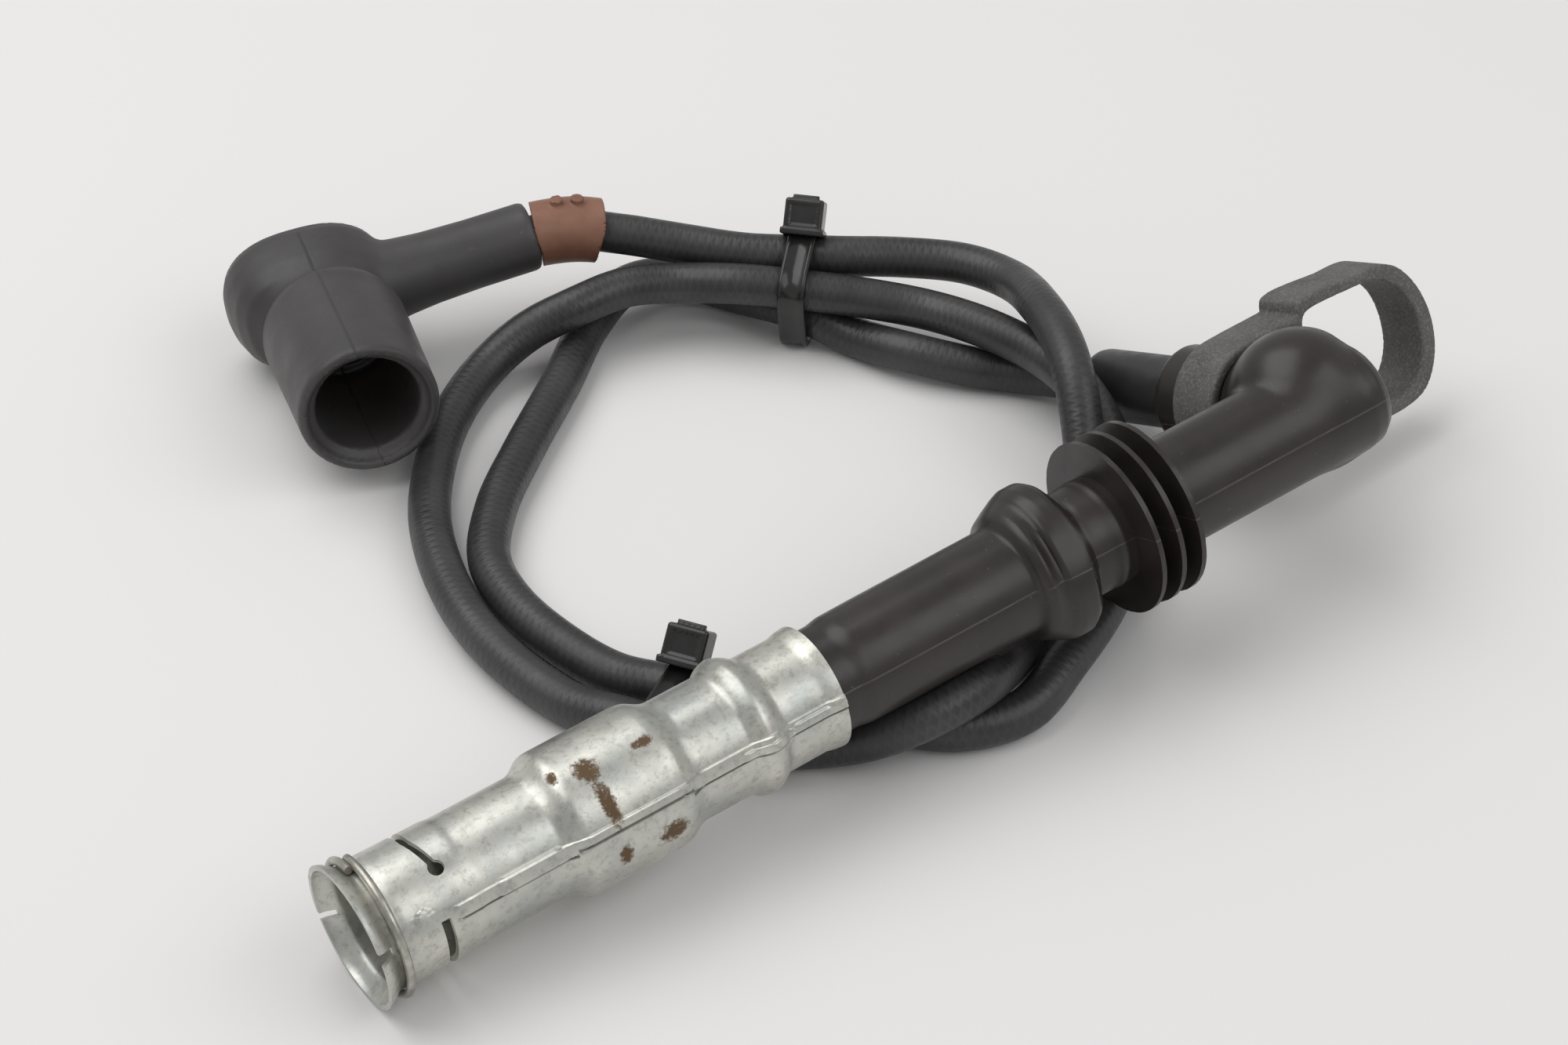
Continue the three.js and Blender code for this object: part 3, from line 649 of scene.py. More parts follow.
def seam_height(station, degrees):
    """How far the folded seam and its crimped tabs stand off the sleeve."""
    on_bulge = step_between(station, 31, 34) * (1 - step_between(station, 49, 53))
    lower = 71.0 - 5.5 * on_bulge
    along = step_between(station, 12.8, 13.2)
    band = step_between(degrees, 58.6, 60.2) * (1 - step_between(degrees, lower - 0.4, lower + 0.6))
    groove = step_between(degrees, lower, lower + 0.7) * (1 - step_between(degrees, lower + 1.3, lower + 2.3))
    height = along * (0.36 * band - 0.22 * groove)
    tabs = [(20.2, 29.8, 56.5, 71.2, 0.30, 0.9), (60.5, 68.7, 63.5, 71.0, 0.30, 0.4),
            (69.6, 75.2, 62.0, 70.6, 0.26, 1.2), (75.6, 78.1, 59.0, 66.0, 0.26, 0.3)]
    for start, stop, top, bottom, rise, slant in tabs:
        lean = slant * (degrees - top) / (bottom - top)
        along = step_between(station, start - lean, start - lean + 0.5)
        along = along * (1 - step_between(station, stop + lean - 0.5, stop + lean))
        height = height + rise * along * step_between(degrees, top, top + 1.6) * (
            1 - step_between(degrees, bottom - 0.6, bottom + 0.6))
    # half-oval tab near the mouth
    across = (station - 8.1) / 1.4
    top = 47.5 + 9.0 * np.clip(across ** 2, 0, 1)
    oval = (1 - step_between(np.abs(across), 0.7, 1.1)) * step_between(degrees, top, top + 1.8)
    return height + 0.34 * oval * (1 - step_between(degrees, 69.0, 70.2))


def slot_distance(station, degrees):
    """Distance to the sleeve's cut-outs, negative inside them."""
    arc = np.radians(degrees) * SLEEVE_RADIUS

    def arc_from(angle):
        return arc - math.radians(angle) * SLEEVE_RADIUS

    # one long slot from its round keyhole over the top, one under the sleeve, two splits in the lip
    keyhole = np.hypot(station - SLOT_STATION, arc_from(KEYHOLE_ANGLE))
    bend = np.clip((KEYHOLE_ANGLE - degrees) / 124, 0, 1)
    centre = SLOT_STATION - 1.35 * np.clip(bend * 3.2, 0, 1)
    over = np.where(degrees > KEYHOLE_ANGLE, keyhole, np.abs(station - centre))
    over = np.where(degrees < -100, np.hypot(station - 11.65, arc_from(-100)), over) - 0.62
    under = np.abs(arc_from(128)) - math.radians(62) * SLEEVE_RADIUS
    under = np.maximum(np.abs(station - 10.9) - 0.75, under)
    lips = np.minimum(np.abs(arc_from(67)) - 0.55 - 0.12 * (2.3 - station), np.abs(arc_from(-113)) - 0.5)
    lips = np.maximum(lips, station - 2.3)
    return np.minimum(np.minimum(keyhole - 1.18, over), np.minimum(under, lips))


def sleeve_grid(stations):
    """Stations and angles of the sleeve's points, drawn onto the edges of its cut-outs."""
    coarse = np.arange(-180.0, 180.0, 2.0)
    dense = np.arange(44.0, 76.0, 0.7)
    degrees = np.sort(np.concatenate([coarse[(coarse < 43.5) | (coarse > 76.2)], dense]))
    s, d = (grid.copy() for grid in np.meshgrid(stations, degrees, indexing="ij"))
    per_degree = math.radians(SLEEVE_RADIUS)
    for _ in range(3):
        value = slot_distance(s, d)
        slope_s = (slot_distance(s + 0.01, d) - slot_distance(s - 0.01, d)) / 0.02
        slope_d = (slot_distance(s, d + 0.05) - slot_distance(s, d - 0.05)) / 0.1
        size = slope_s ** 2 + (slope_d / per_degree) ** 2
        near = (np.abs(value) < 0.26) & (size > 0.2)
        s = np.where(near, s - value * slope_s / np.maximum(size, 0.2), s)
        d = np.where(near, d - value * slope_d / per_degree ** 2 / np.maximum(size, 0.2), d)
    return np.clip(s, 0, stations[-1]), d


def sleeve_keeps(s, d):
    """Which squares of the grid lie outside the cut-outs."""
    middle_s = (s[:-1] + s[1:]) / 2
    middle_s = (middle_s + np.roll(middle_s, -1, axis=1)) / 2
    next_d = np.roll(d, -1, axis=1)
    next_d[:, -1] += 360
    middle_d = (d[:-1] + d[1:] + next_d[:-1] + next_d[1:]) / 4
    middle_d = np.where(middle_d > 180, middle_d - 360, middle_d)
    return slot_distance(middle_s, middle_d) > 0


def sheet_faces(keep, columns, count):
    """Both sides of a sheet that closes round itself, with walls along every open edge."""
    faces = []
    edges = {}
    for i, j in np.argwhere(keep):
        n = (j + 1) % columns
        quad = (i * columns + j, i * columns + n, (i + 1) * columns + n, (i + 1) * columns + j)
        faces.append(quad)
        faces.append(tuple(q + count for q in reversed(quad)))
        for a, b in zip(quad, quad[1:] + quad[:1]):
            edges[(a, b)] = True
    for a, b in edges:
        if (b, a) not in edges:
            faces.append((b, a, a + count, b + count))
    return faces


def shield_sleeve(material):
    """Folded sheet sleeve with its lip, slots, seam and tabs, as one closed sheet."""
    stations, radii = rounded_line(SLEEVE_LINE, 0.22, 0.42)
    s, d = sleeve_grid(stations)
    radius = np.interp(s, stations, radii)
    angle = np.radians(d)
    layers = [np.stack([s, -np.sin(angle) * r, np.cos(angle) * r], axis=-1).reshape(-1, 3)
              for r in (radius + seam_height(s, d), radius - SHEET)]
    faces = sheet_faces(sleeve_keeps(s, d), s.shape[1], s.size)
    piece = mesh_piece("steel_sleeve", np.concatenate(layers), faces, material, CONNECTOR)
    skin = np.concatenate([np.stack([s, d, np.zeros_like(s)], axis=-1).reshape(-1, 3)] * 2)
    layer = piece.data.attributes.new("skin", "FLOAT_VECTOR", "POINT")
    layer.data.foreach_set("vector", skin[:len(piece.data.vertices)].ravel())
    drop_loose_points(piece)
    return sharp_by_angle(piece, 50)


def drop_loose_points(piece):
    shape = bmesh.new()
    shape.from_mesh(piece.data)
    loose = [v for v in shape.verts if not v.link_faces]
    bmesh.ops.delete(shape, geom=loose, context="VERTS")
    shape.to_mesh(piece.data)
    shape.free()


def snap_ring_tree(material):
    sizes = {"Radius": 0.0105, "Wire": 0.00065, "Turns": 1.05, "Rise": 0.00125}
    tree, source, sink = new_tree("snap_ring", sizes)
    radius, wire, turns, rise = (source.outputs[size] for size in sizes)
    coil = node(tree, "GeometryNodeCurveSpiral",
                {"Resolution": 120, "Rotations": turns, "Start Radius": radius, "End Radius": radius,
                 "Height": rise})
    section = node(tree, "GeometryNodeCurvePrimitiveCircle", {"Resolution": 14, "Radius": wire})
    finish_tree(tree, swept_along(tree, coil.outputs[0], section.outputs[0]), sink, material)
    return tree


def on_connector(piece, station, turn):
    """Brings a grown piece from its own origin to a station of the connector."""
    place = CONNECTOR.copy()
    place.translation = CONNECTOR.translation * MM
    piece.data.transform(place @ Matrix.Translation((station * MM, 0, 0)) @ turn)


def snap_ring(material):
    """Wire ring in the groove behind the lip, with its ends side by side near the top."""
    piece = grow("retaining_wire", snap_ring_tree(material), {"Turns": 1.05})
    turn = Matrix.Rotation(math.radians(90), 4, "Y") @ Matrix.Rotation(math.radians(170), 4, "Z")
    on_connector(piece, 2.75, turn)
    return sharp_by_angle(piece, 50)


# How far the collar stands off the barrel, by station: at its lobes, and at its front
LOBE_RISE = [(113.2, 0.0), (114.2, 1.3), (116.2, 2.3), (118.2, 3.2), (119.6, 3.7), (121.7, 3.7), (123.2, 2.8),
             (124.2, 1.1), (124.6, 0.0)]
FRONT_RISE = [(113.6, 0.0), (114.3, 1.5), (115.3, 2.2), (116.6, 1.2), (117.5, 0.8), (118.1, 1.7),
              (122.1, 2.0), (122.4, 1.7), (122.7, 0.0)]
BARREL_BORE = 4.5
BARREL_LINE = [
    (54, 8.4), (62.3, 8.4), (63.5, 9.25), (65, 9.8), (66.5, 9.25), (68.2, 8.15), (75.3, 8.1), (77.5, 8.3),
    (81.6, 8.3), (83.6, 8.68), (90, 8.75), (112.4, 8.8), (123.4, 8.9), (125, 8.5), (125.6, 8.7),
    (129.6, 8.75), (129.8, 8.95), (130.3, 8.95), (130.6, 8.8), (132, 8.78), (141.1, 8.73),
]


def collar_swell(station, radius, angle):
    """Two lobes on opposite sides of the barrel; between them a low ridge and a flat raised pad."""
    if radius < 8.0 or not 113 < station < 125:
        return radius
    lobe = abs(math.cos(angle + math.radians(51))) ** 1.5
    high, low = (float(np.interp(station, *zip(*line))) for line in (LOBE_RISE, FRONT_RISE))
    return radius + low + (high - low) * lobe


def connector_barrel(material):
    """Barrel of the moulding, from inside the sleeve to the foot of the last fin."""
    stations, radii = rounded_line(BARREL_LINE, 0.28, 0.35)
    outside = list(zip(stations, radii))
    front = [(57, 6.4), (37.5, 6.4), (37.5, 7.9), (38, 8.15), (52, 8.15)]
    inside = [(141.1, BARREL_BORE), (57, BARREL_BORE)]
    points, faces = turned(front + outside + inside, 128, collar_swell, closed=True)
    return sharp_by_angle(mesh_piece("connector_barrel", points, faces, material, CONNECTOR), 45)


def fin_tree(material):
    sizes = {"Fins": 3, "Spacing": 0.0038, "Radius": 0.01418, "Root": 0.0085, "Thickness": 0.00085,
             "Wear": 0.00022}
    tree, source, sink = new_tree("cooling_fins", sizes)
    fins, spacing, radius, root, thickness, wear = (source.outputs[size] for size in sizes)
    middle = times(tree, math_node(tree, "ADD", radius, root), 0.5)
    circle = node(tree, "GeometryNodeCurvePrimitiveCircle", {"Resolution": 150, "Radius": middle})
    section = node(tree, "GeometryNodeCurvePrimitiveQuadrilateral",
                   {"Width": minus(tree, radius, root), "Height": thickness})
    section = node(tree, "GeometryNodeSubdivideCurve", {"Curve": section.outputs[0], "Cuts": 5})
    disc = swept_along(tree, circle.outputs[0], section.outputs[0], caps=False)
    gap = node(tree, "ShaderNodeCombineXYZ", {2: spacing})
    row = node(tree, "GeometryNodeMeshLine", {"Count": fins, "Offset": gap.outputs[0]})
    placed = node(tree, "GeometryNodeInstanceOnPoints", {"Points": row.outputs[0], "Instance": disc})
    real = node(tree, "GeometryNodeRealizeInstances", {"Geometry": placed.outputs[0]})
    where = node(tree, "GeometryNodeInputPosition").outputs[0]
    rough = times(tree, minus(tree, noise(tree, where, 700.0, roughness=0.5), 0.5), wear)
    flat = node(tree, "ShaderNodeVectorMath", {0: where, 1: (1, 1, 0)}, operation="MULTIPLY").outputs[0]
    reach = node(tree, "ShaderNodeVectorMath", {0: flat}, operation="LENGTH").outputs["Value"]
    out = node(tree, "ShaderNodeVectorMath", {0: flat}, operation="NORMALIZE").outputs[0]
    shift = node(tree, "ShaderNodeVectorMath", {0: out, "Scale": rough}, operation="SCALE")
    edge = math_node(tree, "GREATER_THAN", reach, times(tree, radius, 0.985))
    worn = node(tree, "GeometryNodeSetPosition", {"Geometry": real.outputs[0], "Selection": edge,
                                                  "Offset": shift.outputs[0]})
    finish_tree(tree, worn.outputs[0], sink, material)
    return tree


def cooling_fins(material):
    """Three thin fins with slightly ragged edges."""
    piece = grow("cooling_fins", fin_tree(material), {"Fins": 3})
    on_connector(piece, 132.55, Matrix.Rotation(math.radians(90), 4, "Y"))
    return sharp_by_angle(piece, 40)


DOME_RADIUS = 11.3
NECK_RADIUS = 7.7


def loop_axes():
    """Rearward and upward directions in the plane across the arm."""
    rearward = square_to(CONNECTOR_AXIS, ARM_DIRECTION)
    up = np.cross(ARM_DIRECTION, rearward)
    if up[2] < 0:
        up = -up
    return rearward, up


def elbow_field(points):
    barrel = spun(points, CONNECTOR_MOUTH, CONNECTOR_AXIS, [
        (139, 8.0), (141.0, 8.0), (141.1, 8.73), (167, 8.75), (179.5, 8.95), (181.7, 8.6), (183.2, 7.6),
        (184.1, 6.0), (184.4, 3.5)])
    arm = spun(points, ELBOW, ARM_DIRECTION, [
        (-3, 8.2), (0, 8.7), (8, 8.8), (13.0, 8.75), (13.7, 8.4), (13.75, NECK_RADIUS), (23.3, NECK_RADIUS),
        (23.4, 8.3), (ARM_LENGTH - 0.8, 8.3), (ARM_LENGTH - 0.2, 8.0), (ARM_LENGTH, 7.5)])
    rearward, up = loop_axes()
    middle = ELBOW + ARM_DIRECTION * 3.2 - rearward * 0.5 + up * 2.2
    dome = np.linalg.norm(points - middle, axis=1) - DOME_RADIUS
    # the dome stops short of the barrel's end and of its underside
    offset = points - ELBOW
    dome = cut_out(dome, 8.6 - offset @ CONNECTOR_AXIS, 3.0)
    dome = cut_out(dome, offset @ up + 2.0, 2.0)
    return joined(joined(barrel, arm, 2.0), dome, 1.2)


def elbow_bores(points):
    barrel = spun(points, CONNECTOR_MOUTH, CONNECTOR_AXIS, [
        (130, BARREL_BORE), (ELBOW_STATION, BARREL_BORE), (ELBOW_STATION + 2.5, 2)])
    socket = TUBE_RADIUS + 0.2
    arm = spun(points, ELBOW, ARM_DIRECTION, [(-4, 3.9), (12.2, 3.9), (12.2, socket), (40, socket)])
    return np.minimum(barrel, arm)


def connector_elbow(material):
    """Elbow and arm, blended into each other."""
    corners = np.array([CONNECTOR_MOUTH + CONNECTOR_AXIS * 139, CONNECTOR_MOUTH + CONNECTOR_AXIS * 185,
                        ELBOW + ARM_DIRECTION * 30])
    low, high = corners.min(axis=0) - 10.5, corners.max(axis=0) + 13.5
    low[2] = max(low[2], 0.0)

    def field(points):
        return cut_out(elbow_field(points), elbow_bores(points), 0.25)

    return carved("connector_elbow", field, low, high, 0.5, material)


LOOP_FROM = 13.9
LOOP_TO = 23.1
RING_RADIUS = 9.85
LOOP_OUTLINE = [
    (13.4, 9.2), (14.2, 11.1), (27.6, 9.9), (30.6, 9.7), (33.6, 9.1), (36.9, 7.2), (39.4, 4.0), (41.1, -0.1),
    (41.7, -4.6), (40.9, -9.3), (38.8, -13.0), (36.4, -15.0), (33, -15.8), (24.8, -15.5), (16, -14.4),
    (9, -12.2), (4.5, -10.5), (1.5, -RING_RADIUS),
]
LOOP_HOLE = [
    (14, 7.6), (14.6, 8.6), (16, 9.05), (27.8, 8), (29.8, 7.8), (32.2, 6.9), (35.2, 4.7), (37.1, 2.2),
    (38.1, -0.5), (38.5, -3.9), (38, -7.8), (36.9, -10), (35, -12), (32.3, -13.3), (24.8, -13.1), (17, -12.3),
    (13.2, -10.6), (11.8, -8), (12, -3), (13, 3),
]


def smooth_ring(outline):
    """Even points on a closed smooth curve through an outline's points."""
    flat = [(x, y, 0.0) for x, y in outline + outline[:1]]
    return route_line(flat, 0.9)[0][:-1, :2].tolist()


def pull_loop(material):
    """Finger loop: a flat strap round the arm, wider where the finger goes."""
    rearward, up = loop_axes()
    turns = [math.radians(a) for a in range(270, 89, -12)]
    arc = [(math.cos(a) * RING_RADIUS, math.sin(a) * RING_RADIUS) for a in turns]
    outline, hole = smooth_ring(LOOP_OUTLINE + arc), smooth_ring(LOOP_HOLE)

    def field(points):
        offset = points - ELBOW
        flat = np.stack([offset @ rearward, offset @ up], axis=1)
        depth = offset @ ARM_DIRECTION
        sheet = np.maximum(polygon_distance(flat, outline), -polygon_distance(flat, hole))
        sheet = np.maximum(sheet, NECK_RADIUS + 0.25 - np.hypot(flat[:, 0], flat[:, 1]))
        ends = np.maximum(LOOP_FROM - depth, depth - LOOP_TO)
        edge = 0.5
        w = np.stack([sheet + edge, ends + edge], axis=1)
        return np.minimum(w.max(axis=1), 0) + np.linalg.norm(np.maximum(w, 0), axis=1) - edge

    middle = ELBOW + ARM_DIRECTION * 18.5
    corners = np.array([middle + rearward * x + up * y + ARM_DIRECTION * z
                        for x in (-10, 42.5) for y in (-16.5, 12) for z in (-4.8, 4.8)])
    low, high = corners.min(axis=0) - 1, corners.max(axis=0) + 1
    return carved("finger_loop", field, low, high, 0.45, material)


def outlet_tube(material):
    """Tube that carries the cable out of the arm, with a soft inner and outer edge."""
    wide, end = TUBE_RADIUS, TUBE_LENGTH
    wall = [(12.5, 3.75), (12.5, wide), (30, wide), (40, wide - 0.02), (end - 2.1, wide - 0.05),
            (end - 1.1, wide - 0.25), (end - 0.4, wide - 0.75), (end - 0.1, wide - 1.4),
            (end - 0.3, wide - 1.95), (end - 1.1, 3.8), (30, 3.75)]
    points, faces = turned(wall, 72, closed=True)
    return mesh_piece("outlet_tube", points, faces, material, placing(ELBOW, ARM_DIRECTION, (-1, 0, 0)))


# Distributor boot

BOOT_ARM_AXIS = unit(BOOT_ARM_END - BOOT_ARM_ROOT)
BOOT_ARM_LENGTH = float(np.linalg.norm(BOOT_ARM_END - BOOT_ARM_ROOT))


def boot_axes():
    """Sideways and upward directions of the boot, square to its way in."""
    side = square_to(BOOT_ARM_AXIS, BOOT_INWARD)
    return side, np.cross(BOOT_INWARD, side)


def boot_field(points):
    offset = points - BOOT_MOUTH
    station = offset @ BOOT_INWARD
    side, up = boot_axes()
    across = offset @ side
    height = offset @ up
    shifted = across + 0.9 * np.clip(station / 25, 0, 1)
    skirt = spun_distance(station, np.hypot(shifted, height), [
        (0, 11.1), (0.25, 11.4), (0.8, 11.65), (12, 11.9), (25.3, 12.25), (26.8, 12.0), (28.0, 11.1),
        (29.2, 10.3), (40, 10.3)])
    wide = np.abs((across + 2.8) / 14.4)
    tall = np.abs(height / 11.7)
    power = 2.5
    squircle = (wide ** power + tall ** power + 1e-9) ** (1 / power)
    cap = polygon_distance(np.stack([station, squircle * 13.2], axis=1), [
        (29.5, PAST_AXIS), (30.2, 8.6), (32.0, 10.8), (34.5, 12.15), (38.5, 13.0), (41.0, 13.2), (43.0, 12.8),
        (44.6, 11.7), (45.3, 10.0), (45.4, PAST_AXIS)])
    body = joined(skirt, cap, 2.4)
    arm = spun(points, BOOT_ARM_ROOT, BOOT_ARM_AXIS, [
        (0, 7.9), (8, 7.4), (13, 6.7), (18, 6.25), (26, 6.0), (BOOT_ARM_LENGTH - 0.9, 6.0),
        (BOOT_ARM_LENGTH - 0.2, 5.75), (BOOT_ARM_LENGTH, 5.2)])
    return joined(body, arm, 1.2)


def boot_bores(points):
    mouth = spun(points, BOOT_MOUTH, BOOT_INWARD, [
        (-5, 10.3), (0.0, 10.3), (1.2, 9.8), (2.2, 8.6), (26, 8.6), (26, 7.0), (41, 7.0)])
    arm = spun(points, BOOT_ARM_ROOT, BOOT_ARM_AXIS, [(0, 3.8), (BOOT_ARM_LENGTH + 5, 3.8)])
    return np.minimum(mouth, arm)


def distributor_boot(material):
    corners = np.array([BOOT_MOUTH, BOOT_MOUTH + BOOT_INWARD * 46, BOOT_ARM_END, BOOT_ARM_ROOT])
    low, high = corners.min(axis=0) - 16.5, corners.max(axis=0) + 16.5
    low[2] = -0.3
    high[0] = BOOT_ARM_END[0] + 3
    points, faces = surface_of(lambda p: cut_out(boot_field(p), boot_bores(p), 0.3), low, high, 0.6)
    points[:, 2] = np.maximum(points[:, 2], 0.0)
    return mesh_piece("rubber_boot", points, faces, material)


# Pieces on the cable

def cable_frame(line, target):
    """Place and direction of the cable nearest a point."""
    near = int(np.argmin(np.linalg.norm(line - target, axis=1)))
    direction = line[min(near + 3, len(line) - 1)] - line[max(near - 3, 0)]
    return line[near], unit(direction)


def marker_clip(line, material):
    """Brown clip round the cable, longer at its top, with two round nubs."""
    centre, along = cable_frame(line, RING_AT - np.array((1.5, -0.3, 0.0)))
    if along[0] < 0:
        along = -along
    up = square_to(np.array((0, 0, 1.0)), along)
    side = np.cross(along, up)
    near = line[np.abs((line - centre) @ along) < 9]
    near = near[np.linalg.norm(near - centre, axis=1) < 10]
    near = near[np.argsort((near - centre) @ along)]

    def field(points):
        offset = points - centre
        x = offset @ along
        run = (near - centre) @ along
        y = offset @ side - np.interp(x, run, (near - centre) @ side)
        z = offset @ up - np.interp(x, run, (near - centre) @ up)
        radius = np.hypot(y, z)
        upper = step_between(z, -1.5, 4.5)
        shell = np.maximum(radius - 5.55 - 0.25 * upper, 3.95 - radius)
        notch = np.hypot(np.abs(x) - 6.3, z - 1.2) - 0.55
        shape = cut_out(np.maximum(shell, np.abs(x) - 4.95 - 0.12 * z - 0.7 * upper), notch, 0.2)
        for place in (-1.8, 1.8):
            nub = np.maximum(np.hypot(x - place, y) - 1.15, np.abs(z - 5.4) - 1.25)
            shape = joined(shape, nub, 0.35)
        return shape

    return carved("marker_clip", field, centre - 9, centre + 9, 0.28, material)


def hull(points):
    """Outline round a cloud of flat points, anticlockwise."""
    points = sorted(map(tuple, points))

    def half(items):
        chain = []
        for p in items:
            while len(chain) > 1:
                (qx, qy), (rx, ry) = chain[-2], chain[-1]
                if (rx - qx) * (p[1] - qy) - (ry - qy) * (p[0] - qx) > 1e-9:
                    break
                chain.pop()
            chain.append(p)
        return chain

    return half(points)[:-1] + half(points[::-1])[:-1]


def even_ring(outline, count):
    ring = np.array(outline + outline[:1])
    run = np.concatenate([[0], np.cumsum(np.linalg.norm(np.diff(ring, axis=0), axis=1))])
    at = np.linspace(0, run[-1], count, endpoint=False)
    return np.stack([np.interp(at, run, ring[:, k]) for k in (0, 1)], axis=1)


TIE_WIDTH = 4.7
TIE_THICKNESS = 1.1
RING_POINTS = 120


def tie_strands(local, count):
    """Where the strands cross the band, in its plane; the count nearest ones at each of three levels."""
    strands = []
    a, b = local[:-1], local[1:]
    for level in (-TIE_WIDTH / 2, 0, TIE_WIDTH / 2):
        crosses = (a[:, 0] - level) * (b[:, 0] - level) <= 0
        found = sorted(a[crosses][:, 1:].tolist(), key=lambda p: math.hypot(*p))
        strands += found[:count]
    return strands


def tie_ring(strands, radius):
    """A tight outline at a radius round the strands."""
    cloud = [(y + math.cos(k * math.pi / 18) * radius, z + math.sin(k * math.pi / 18) * radius)
             for y, z in strands for k in range(36)]
    return even_ring(hull(cloud), RING_POINTS)


def band_round(name, strands, place, material):
    """Band with a raised rail along each edge."""
    section = [(-0.5, 0.0), (-0.5, 0.75), (-0.46, 0.97), (-0.40, 1.0), (-0.36, 0.95), (-0.34, 0.80),
               (0.34, 0.80), (0.36, 0.95), (0.40, 1.0), (0.46, 0.97), (0.5, 0.75), (0.5, 0.0)]
    inside = CABLE_DIAMETER / 2 + 0.45
    inner, outer = tie_ring(strands, inside), tie_ring(strands, inside + TIE_THICKNESS)
    shift = int(np.argmin(np.linalg.norm(outer - inner[0], axis=1)))
    outer = np.roll(outer, -shift, axis=0)
    points = []
    for across, depth in section:
        rim = inner + (outer - inner) * depth
        points += [(across * TIE_WIDTH, y, z) for y, z in rim]
    faces = []
    for i in range(len(section)):
        here, there = i * RING_POINTS, (i + 1) % len(section) * RING_POINTS
        for k in range(RING_POINTS):
            n = (k + 1) % RING_POINTS
            faces.append((here + k, here + n, there + n, there + k))
    band = mesh_piece(name, points, faces, material, place)
    turn_outward(band)
    return band


def ratchet_head(name, place, at, lean, material):
    """Ratchet head with a wider foot, a shallow recess and the cut stub of the tail."""
    middle = moved([at], place)[0]

    def head(points):
        offset = moved(points, place.inverted()) - np.array(at)
        along = offset[:, 2] * math.cos(lean) + offset[:, 1] * math.sin(lean)
        out = offset[:, 1] * math.cos(lean) - offset[:, 2] * math.sin(lean)
        q = np.stack([offset[:, 0], along, out], axis=1)
        block = rounded_box(q, (3.35, 3.1, 2.45), 0.55)
        foot = rounded_box(q - np.array((0, -2.6, 0)), (3.75, 0.55, 2.65), 0.25)
        stub = rounded_box(q - np.array((0, 3.0, 0.7)), (2.25, 0.8, 0.5), 0.15)
        recess = rounded_box(q - np.array((0, 0.3, 2.6)), (2.3, 1.7, 0.4), 0.15)
        return np.minimum(cut_out(np.minimum(block, foot), recess, 0.25), stub)

    return carved(name, head, middle - 6.2, middle + 6.2, 0.26, material)


def cable_tie(name, line, centre, normal, head_at, head_lean, count, material):
    """A band drawn tight round the strands that cross a plane, and its head."""
    place = placing(centre, normal, (0, 0, 1))
    strands = tie_strands(moved(line, place.inverted()), count)
    band = band_round(name + "_band", strands, place, material)
    at = (0, head_at[1] - centre[2], head_at[0])
    return band, ratchet_head(name + "_head", place, at, math.radians(head_lean), material)


def turn_outward(piece):
    """Points a closed shape's faces outwards."""
    shape = bmesh.new()
    shape.from_mesh(piece.data)
    bmesh.ops.remove_doubles(shape, verts=shape.verts, dist=1e-7)
    bmesh.ops.recalc_face_normals(shape, faces=shape.faces)
    shape.to_mesh(piece.data)
    shape.free()
    piece.data.polygons.foreach_set("use_smooth", [True] * len(piece.data.polygons))


# Studio

def place_camera():
    data = bpy.data.cameras.new("camera")
    data.sensor_fit = "HORIZONTAL"
    data.sensor_width = 36
    data.lens = LENS
    data.clip_start = 0.02
    camera = add_piece("camera", data)
    turn = Matrix((Vector(CAMERA_RIGHT), -Vector(CAMERA_DOWN), -Vector(CAMERA_FORWARD))).transposed()
    camera.matrix_world = Matrix.Translation(CAMERA_AT) @ turn.to_4x4()
    bpy.context.scene.camera = camera


def area_light(name, at, aim, size, power):
    data = bpy.data.lights.new(name, "AREA")
    data.shape = "RECTANGLE"
    data.size, data.size_y = size
    data.energy = power
    lamp = add_piece(name, data)
    lamp.location = at
    lamp.rotation_euler = (Vector(aim) - Vector(at)).to_track_quat("-Z", "Y").to_euler()


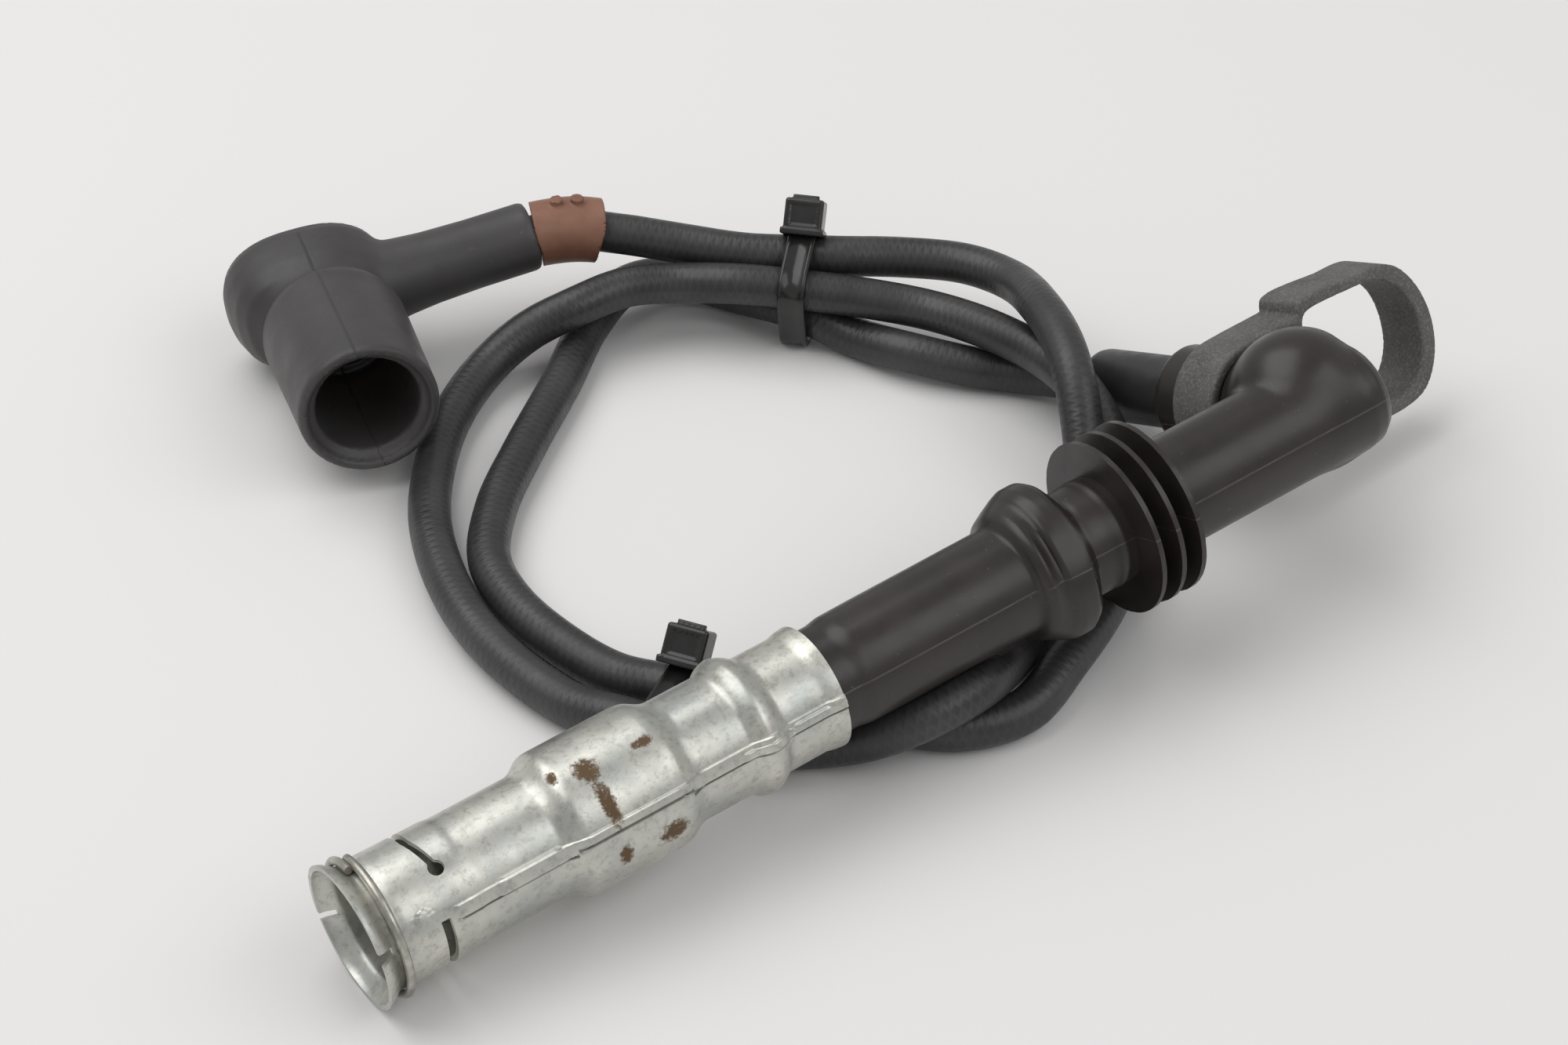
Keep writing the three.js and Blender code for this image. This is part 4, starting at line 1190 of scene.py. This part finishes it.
def studio():
    world = bpy.data.worlds.new("studio")
    bpy.context.scene.world = world
    world.use_nodes = True
    world.node_tree.nodes["Background"].inputs["Color"].default_value = (1.0, 1.0, 1.0, 1)
    world.node_tree.nodes["Background"].inputs["Strength"].default_value = 0.47
    area_light("overhead", (-0.28, 0.36, 0.85), (0, 0, 0), (1.1, 0.8), 5.5)
    area_light("front_fill", (0.35, -0.62, 0.75), (0, -0.03, 0), (1.0, 0.6), 2.5)
    mesh = bpy.data.meshes.new("floor")
    mesh.from_pydata([(-3, -3, 0), (3, -3, 0), (3, 3, 0), (-3, 3, 0)], [], [(0, 1, 2, 3)])
    mesh.materials.append(pale_floor())
    add_piece("floor", mesh)
    bpy.context.scene.view_settings.view_transform = "Standard"


def put(piece, slot, *nodes):
    """The piece rides on the body and stands for its nodes, which it hides. The slot is not used."""
    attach(piece, "root")
    if nodes:
        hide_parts(*nodes)
    return piece


place_camera()
cable, cable_line, cable_length = ignition_cable(cable_rubber())
put(cable, "cable_rubber", "ignition_cable")

put(shield_sleeve(zinc_steel()), "steel", "shield_sleeve")
put(snap_ring(plain("spring_wire")), "spring_steel", "snap_ring")
plastic = moulded_plastic()
put(connector_barrel(plastic), "body_plastic", "connector_body")
put(cooling_fins(plastic), "body_plastic")
put(connector_elbow(plastic), "body_plastic")
put(pull_loop(loop_rubber()), "loop_rubber", "pull_loop")
put(outlet_tube(plain("tube_rubber")), "tube_rubber", "cable_sleeve")
put(distributor_boot(boot_rubber()), "boot_rubber", "distributor_boot")
clip = put(marker_clip(cable_line, plain("clip_plastic")), "clip_plastic", "marker_ring")
nylon = plain("tie_nylon")
ties = []
for tie_name, tie_args in {
    "tie_back": ((34.36, 29.09, 9.40), (-0.708, 0.706, 0), (4.4, 20.8), 51.5, 3),
    "tie_front": ((-40.5, -45.5, 3.60), (-0.55, 0.835, 0), (6.0, 12.6), 48.7, 2),
}.items():
    tie_band, tie_head = cable_tie(tie_name, cable_line, *tie_args, nylon)
    ties += [put(tie_band, "tie_plastic", tie_name), put(tie_head, "tie_plastic")]

brass = plain("turned_brass")
for inner, finish in (("plug_terminal", brass), ("elbow_terminal", brass), ("boot_terminal", brass),
                      ("suppressor_rod", plain("fired_ceramic"))):
    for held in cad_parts[inner].material_slots:
        held.material = finish

studio()
